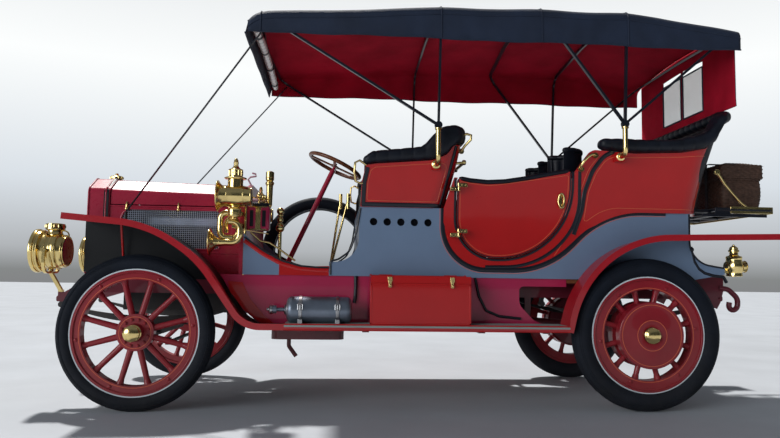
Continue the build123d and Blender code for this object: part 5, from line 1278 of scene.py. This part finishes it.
SHELL_OUTLINE = [(-338.5, 800, 0), (-338.5, 1346, 42), (-190, 1430.5, 42), (190, 1430.5, 42),
                 (338.5, 1346, 42), (338.5, 800, 0)]
beads = Shape()
for x in (-443, -334):
    beads.pipe([(x, *p) for p in resample(rounded(SHELL_OUTLINE, False, 6), 16)], 6, 8)
beads.piece("front_shell_beads", "crimson", smooth=50)
FILLER_X = -377
filler = Shape().lathe(at(FILLER_X, 0, 1462), UP, [
    (36, -30), (38, -26), (38, -6), (44, -4), (44, 8), (36, 14), (18, 18), (10, 22), (12, 30), (0, 36)])
for t in turns(12):
    x, y = FILLER_X + 44 * math.cos(t), 44 * math.sin(t)
    filler.pipe([(x, y, 1457), (x, y, 1469)], 3, 6)
filler.piece("filler_cap", "brass", smooth=40)
core = Shape()
for y in range(-300, 301, 15):
    core.block((-433, y - 1.4, 800), (-429.5, y + 1.4, 1386 - max(abs(y) - 180, 0) * 0.56))
for z in range(830, 1315, 44):
    core.block((-434, -304, z - 2), (-431, 304, z + 2))
core.piece("radiator_slats", "brass_dull", slot="core_mesh")


# Doors, grips and rails in brass

def grip(name, points, radius, hand):
    """Bar through (station, side, height) points with a foot plate at each end."""
    shape = Shape().pipe(points, radius, 12, hand)
    for x, y, z in (points[0], points[-1]):
        shape.lathe(at(x, hand * y, z), (0, 1, 0), [(0, -6), (radius * 2, -6), (radius * 2.2, 0),
                                                    (radius * 2, 6), (0, 6)], 16)
    shape.piece(name, "brass", smooth=50)


def bow_points(a, b, out):
    """Points of a grip that stands off between two feet."""
    a, b, out = Vector(a), Vector(b), Vector(out)
    return [tuple(a.lerp(b, k / 14) + out * math.sin(math.pi * k / 14) ** 0.35) for k in range(15)]


HINGE_X = 1928
HINGE_DROP = 291
ROLL_EDGE = ((1936, 1430), (2010, 1417), (2120, 1409), (2230, 1416), (2380, 1441), (2520, 1470), (2652, 1496))
ROLL_STEPS = 60
# name, station, side and height of the foot, height of the top's pivot
NECKS = (("front", 1780, 640, 1513, 1745), ("rear", 2970, 658, 1593, 1790))

for (hand, name), body in zip(SIDES, ("left_door", "right_door")):
    door = "door_" + name
    spot, normal = skin(door, hand, 2598, 1308)
    knob = Shape()
    loop = [spot + Vector((math.cos(t) * 0.019, 0, math.sin(t) * 0.046))
            + normal * (0.010 + 0.006 * abs(math.sin(t))) for t in turns(40)]
    knob.tube(loop, 6.5, closed=True)
    knob.band([spot + Vector((0, 0, z)) for z in (-0.052, -0.03, 0.03, 0.052)], [normal] * 4,
              [(-9, -2), (-8, 4), (8, 4), (9, -2)])
    for z in (-0.046, 0.046):
        foot = spot + Vector((0, 0, z))
        knob.tube([foot, foot + normal * 0.012], 7)
    knob.piece("door_handle_" + name, "brass", body, smooth=45)
    for way, part, rider, low in ((1, "door", body, 1376), (-1, "pillar", "chassis", 1351)):
        plates = Shape()
        for z in (low, low - HINGE_DROP):
            plates.block((HINGE_X + way * 3, hand * 641, z - 0.3),
                         (HINGE_X + way * 54, hand * 655.5, z + 24.3))
            for dx in (20, 42):
                plates.lathe(at(HINGE_X + way * dx, hand * 655.5, z + 12.5), (0, hand, 0),
                             [(5, -1), (4, 1.5), (0, 2)], 10)
        plates.piece(f"hinge_{part}_plates_{name}", "brass", rider, bevel=0.002, smooth=40)
    barrels = Shape()
    for z in (1351, 1378, 1060, 1087):
        barrels.lathe(at(HINGE_X, hand * 648, z), UP, [(9.2, 0), (9.6, 2), (9.6, 21), (9.2, 23)], 16)
    barrels.piece("hinge_barrels_" + name, "brass", smooth=40)

    rings = []
    for i in range(ROLL_STEPS + 1):
        t = i / ROLL_STEPS
        x = 1936 + (2652 - 1936) * t
        edge = along(ROLL_EDGE, x)
        found = skin(door, hand, x, edge - 14)
        y_out = found[0].y / MM * hand if found else 625
        size = 17 * (0.45 + 0.55 * math.sqrt(max(0.0, 1 - (1 - min(min(t, 1 - t) * 20, 1)) ** 2)))
        rings.append([at(x, hand * (y_out - 10 + size * 1.15 * math.cos(a)), edge + 6 + size * math.sin(a))
                      for a in turns(14)])
    Shape().rings(rings).piece("door_roll_" + name, "leather", body, smooth=60)

    grip("seat_grip_" + name, [(1352, 612, 1392), (1306, 628, 1386), (1276, 636, 1398), (1268, 640, 1455),
                               (1272, 640, 1515), (1300, 636, 1530), (1352, 622, 1498)], 7.5, hand)
    grip("quarter_grip_" + name, bow_points((2722, 640, 1512), (2812, 650, 1602), (-20, 26, 20)), 9, hand)
    grip("robe_hook_" + name, [(1958, 560, 1620), (1975, 585, 1650), (2012, 600, 1690), (2014, 600, 1718),
                               (1985, 600, 1726), (1950, 590, 1712)], 8.5, hand)
    for label, x, foot_y, foot_z, apex_z in NECKS:
        neck = Shape()
        neck.pipe([(x, foot_y, foot_z), (x, 716, foot_z), (x, 736, foot_z + 8), (x, 746, foot_z + 26),
                   (x, 748, foot_z + 50), (x, 748, apex_z - 28)], 16.2, 14, hand)
        neck.lathe(at(x, hand * 748, apex_z - 30), UP, [(15, 0), (22, 3), (22, 12), (15, 15)], 20, True)
        neck.lathe(at(x, hand * (foot_y + 16), foot_z), (0, hand, 0),
                   [(0, -6), (26, -6), (27, 4), (18, 10)], 20)
        neck.piece(f"top_neck_{label}_{name}", "brass", smooth=50)
rail = Shape()
rail.pipe([(1990, y, 1560) for y in range(-480, 481, 40)], 11, 14)
for y in (-480, -160, 160, 480):
    rail.pipe([(1932, y, 1552), (1990, y, 1560)], 9)
    rail.lathe(at(1992, y, 1560), BACK, [(16, -12), (18, 0), (14, 10), (0, 14)], 16)
rail.piece("robe_rail", "brass", smooth=50)


# Running board: tank straps, toolbox catches, board edge, tread ribs

TANK = (-715, 600)
STRAP_STATIONS = (960, 1180)
straps, fittings = Shape(), Shape()
for x in STRAP_STATIONS:
    straps.lathe(at(x - 11, *TANK), BACK, [(80.5, 0), (84.5, 2), (84.5, 20), (80.5, 22)], 48)
    for y in (-655, -803):
        straps.block((x - 13, y, 521), (x + 13, y + 28, 548))
    for dx in (-14, 14):
        fittings.pipe([(x + dx, -799, 604), (x + dx, -797, 636)], 2.8, 8)
    for y, z in ((-799, 604), (-797, 636)):
        fittings.pipe([(x - 14, y, z), (x + 14, y, z)], 2.8, 8)
    fittings.pipe([(x, -800, 604), (x, -799, 634)], 2.2, 8)
straps.piece("tank_straps", "steel", bevel=0.001)
fittings.lathe(at(871, *TANK), FRONT, [(30, -4), (32, 4), (22, 10), (0, 12)], 24)
for x in (884, 1258):
    fittings.hoop(at(x, *TANK), BACK, 62, 4)
fittings.lathe(at(792, *TANK), FRONT, [(26, 0), (28, 4), (28, 14), (20, 20), (10, 24), (10, 34), (0, 36)], 16)
fittings.piece("tank_fittings", "steel", smooth=40)

catches = Shape()
for x in (1490, 1866):
    catches.block((x - 14, -800, 776), (x + 14, -794, 806))
    catches.block((x - 9, -803, 742), (x + 9, -797, 786))
    catches.lathe(at(x, -803, 756), (0, -1, 0), [(8, -4), (9, 4), (6, 8), (0, 9)], 14)
catches.piece("toolbox_catches", "brass", bevel=0.0012, smooth=40)
edges = Shape()
for z in (526, 762):
    edges.block((1374, -792, z - 6), (1983, -788, z + 6))
for x in (1380, 1977):
    edges.block((x - 6, -792, 524), (x + 6, -788, 764))
edges.piece("toolbox_edges", "red_plain", bevel=0.0015)

ribs, beads = Shape(), Shape()
for hand in (-1, 1):
    for k in range(11):
        y = hand * (612 + 17.5 * k)
        ribs.block((874, y, 519.5), (2582, y + hand * 8, 522))
    for z, r in ((519, 4.5), (486, 3.5)):
        beads.pipe([(x, 805.5, z) for x in range(868, 2589, 86)], r, 8, hand)
ribs.piece("board_ribs", "board")
beads.piece("board_edge_beads", "red_plain", smooth=50)


# Luggage rack, hamper and its straps

RAIL_Z0, RAIL_Z1 = 1262, 1308
rack, bars = Shape(), Shape()
for y in (-506, 506):
    rack.block((3795, y - 4, RAIL_Z0), (4092, y + 4, RAIL_Z1))
rack.block((4084, -506, RAIL_Z0), (4092, 506, RAIL_Z1))
for hand in (-1, 1):
    rack.pipe([(3719, 486, 1541), (3770, 486, 1462), (3820, 486, 1401), (3880, 486, 1336), (3950, 486, 1282)],
              9, 12, hand)
    rack.lathe(at(3719, hand * 486, 1541), (0, 1, 0), [(0, -10), (18, -8), (20, 0), (18, 8), (0, 10)], 16)
    y = hand * 503
    bars.block((3600, y - 5, 1238), (4050, y + 5, 1256))
    bars.block((3690, y - 4, 1256), (3800, y + 4, 1300))
rack.piece("rack_rails", "brass", bevel=0.0015, smooth=45)
bars.piece("rack_bars", "black", bevel=0.0015)

STAVES = 26.0
STRAND = 13.0
# the hamper's plan: front, back and half width of its body and of its lid
BASKET_PLAN = (3818, 4092, 382)
LID_PLAN = (3801, 4109, 399)
LID_Z = 1606


def plan_line(x0, x1, half, arc_step, step):
    """Rounded rectangle in plan, as evenly spaced points."""
    corners = [(x0, -half, 28), (x1, -half, 28), (x1, half, 28), (x0, half, 28)]
    return resample(rounded(corners, True, arc_step), step, True)


def wicker_wall(shape, plan, z0, z1, grow, swell=0.0):
    """Woven wall round a rounded rectangle, strands passing in front of and behind the staves."""
    rows_count = int((z1 - z0) / STRAND)
    loop = plan_line(*plan, 5, STAVES / 4)
    outward = beside(loop, -1, True)
    grid = []
    for j in range(rows_count * 4 + 1):
        share = j / (rows_count * 4)
        row_index = min(j // 4, rows_count - 1)
        bulge = math.sin(math.pi * ((j % 4) / 4)) if j % 4 else 0.0
        row = []
        for i, (p, beyond) in enumerate(zip(loop, outward)):
            weave_in = math.sin(2 * math.pi * i / 8 + math.pi * row_index)
            off = 3.0 * bulge * (0.55 + 0.75 * weave_in) - grow * (1 - share)
            off += swell * math.sin(math.pi * share)
            row.append(at(*(p + (beyond - p) * off), z0 + (z1 - z0) * share))
        grid.append(row + [row[0]])
    shape.grid(grid)


basket = Shape()
wicker_wall(basket, BASKET_PLAN, 1300, 1516, 12, 14)
wicker_wall(basket, LID_PLAN, 1520, LID_Z, 0)
lid_x0, lid_x1, lid_half = LID_PLAN
lid = []
for i in range(73):
    x = lid_x0 + (lid_x1 - lid_x0) * i / 72
    row = []
    for k in range(193):
        across = 2 * lid_half * k / 192
        edge = min(x - lid_x0, lid_x1 - x, across, 2 * lid_half - across)
        wave = math.sin(2 * math.pi * x / STAVES + math.pi * int(across / STRAND))
        wave *= 2.6 * abs(math.sin(math.pi * across / STRAND)) * min(edge / 20, 1)
        row.append(at(x, across - lid_half, LID_Z + 34 * math.sin(math.pi / 2 * min(edge / 130, 1)) + wave))
    lid.append(row)
basket.grid(lid)
basket.piece("hamper_weave", "wicker", smooth=50, replaces=["hamper"])
rims = Shape()
for z, grow, r in ((1300, -22, 9), (1512, -8, 8), (1524, 1, 8), (LID_Z, 1, 9)):
    loop = plan_line(3806 - grow, 4104 + grow, 394 + grow, 6, 9)
    for phase in (0, math.pi):
        strand = [at(*p, z + 4 * math.sin(0.9 * i + phase)) for i, p in enumerate(loop)]
        rims.tube(strand, r * 0.7, 6, closed=True)
rims.block((3800, -390, 1297), (4100, 390, 1303))
rims.piece("hamper_rims", "wicker", smooth=60)
belts, buckles = Shape(), Shape()
belt_line = [(3796, 1300, 4), (3796, 1638, 14), (4112, 1638, 14), (4112, 1300, 4)]
line = resample(rounded(belt_line, True, 4), 10, True)
outer = beside(line, 4, True)
for y in (-210, 210):
    belts.rings([[at(p.x, y - 17, p.y), at(q.x, y - 17, q.y), at(q.x, y + 17, q.y), at(p.x, y + 17, p.y)]
                 for p, q in zip(line, outer)], closed=True)
    for dy in (-21, 21):
        buckles.pipe([(4118, y + dy, 1480), (4118, y + dy, 1524)], 3.2, 8)
    for z in (1480, 1524):
        buckles.pipe([(4118, y - 21, z), (4118, y + 21, z)], 3.2, 8)
belts.piece("hamper_straps", "leather", smooth=40)
buckles.piece("hamper_buckles", "brass", smooth=50)


# Camera, light and surroundings

CAMERA_SPOT = (-0.52833, -4.90347, 0.81887)
LENS = 31.695
PAN = math.radians(4.36)
TILT = math.radians(4.62)
ROLL = math.radians(0.86)
ahead = Vector((math.sin(PAN) * math.cos(TILT), math.cos(PAN) * math.cos(TILT), math.sin(TILT)))
right = Vector((math.cos(PAN), -math.sin(PAN), 0))
above = right.cross(ahead)
right_turned = right * math.cos(ROLL) + above * math.sin(ROLL)
above_turned = above * math.cos(ROLL) - right * math.sin(ROLL)
camera_data = bpy.data.cameras.new("camera")
camera_data.lens = LENS
camera_data.sensor_width = 36
camera = bpy.data.objects.new("camera", camera_data)
turn = Matrix((right_turned, above_turned, -ahead)).transposed().to_4x4()
camera.matrix_world = Matrix.Translation(CAMERA_SPOT) @ turn
bpy.context.scene.collection.objects.link(camera)
bpy.context.scene.camera = camera
bpy.context.scene.view_settings.view_transform = "Standard"


def sun(name, strength, aim, angle, color):
    """Distant lamp that shines along a direction."""
    data = bpy.data.lights.new(name, "SUN")
    data.energy = strength
    data.angle = math.radians(angle)
    data.color = color
    obj = bpy.data.objects.new(name, data)
    obj.rotation_euler = (-Vector(aim)).to_track_quat("Z", "Y").to_euler()
    bpy.context.scene.collection.objects.link(obj)


sun("sun", 3.8, (0.25, -0.50, -1.0), 3, (1.0, 0.97, 0.93))
sun("near_fill", 1.9, (0.75, 0.65, -0.14), 40, (0.94, 0.97, 1.0))

SKY_DIMMED = 0.62
world = bpy.data.worlds.new("sky")
bpy.context.scene.world = world
world.use_nodes = True
tree = world.node_tree
backdrop = tree.nodes["Background"]
backdrop.inputs["Strength"].default_value = 1.0
axis = split(tree, tree.nodes.new("ShaderNodeTexCoord").outputs["Generated"])
height = calc(tree, "MULTIPLY_ADD", axis["Z"], 0.5, 0.5)
far_side = ramp(tree, height, (
    (0.0, (0.16, 0.16, 0.17, 1)), (0.485, (0.22, 0.22, 0.23, 1)), (0.50, (0.24, 0.25, 0.25, 1)),
    (0.515, (0.44, 0.46, 0.48, 1)), (0.56, (0.70, 0.75, 0.80, 1)), (0.64, (0.98, 1.0, 1.0, 1)),
    (0.80, (0.55, 0.58, 0.62, 1)), (1.0, (0.36, 0.39, 0.44, 1))))
near_side = ramp(tree, height, (
    (0.0, (0.03, 0.03, 0.035, 1)), (0.49, (0.05, 0.055, 0.06, 1)), (0.53, (0.07, 0.085, 0.09, 1)),
    (0.60, (0.09, 0.11, 0.12, 1)), (0.70, (0.20, 0.23, 0.27, 1)), (0.80, (0.42, 0.46, 0.52, 1)),
    (1.0, (0.40, 0.43, 0.48, 1))))
toward = within(tree, calc(tree, "MULTIPLY_ADD", axis["Y"], 2.5, 0.6))
sky_color = mix(tree, toward, near_side, far_side)
# the camera sees the sky whole, other rays see it dimmed
seen = tree.nodes.new("ShaderNodeLightPath").outputs["Is Camera Ray"]
dimmed = mix(tree, SKY_DIMMED, sky_color, (0.0, 0.0, 0.0, 1))
tree.links.new(mix(tree, seen, dimmed, sky_color), backdrop.inputs["Color"])

floor_mesh = bpy.data.meshes.new("road")
floor_mesh.from_pydata([(-40, -40, 0), (40, -40, 0), (40, 40, 0), (-40, 40, 0)], [], [(0, 1, 2, 3)])
floor_mesh.materials.append(material("asphalt", (0.50, 0.53, 0.57), 0.8, vary=0.06, scale=1.2, bump=0.3,
                                     bump_scale=60))
road = bpy.data.objects.new("road", floor_mesh)
bpy.context.scene.collection.objects.link(road)
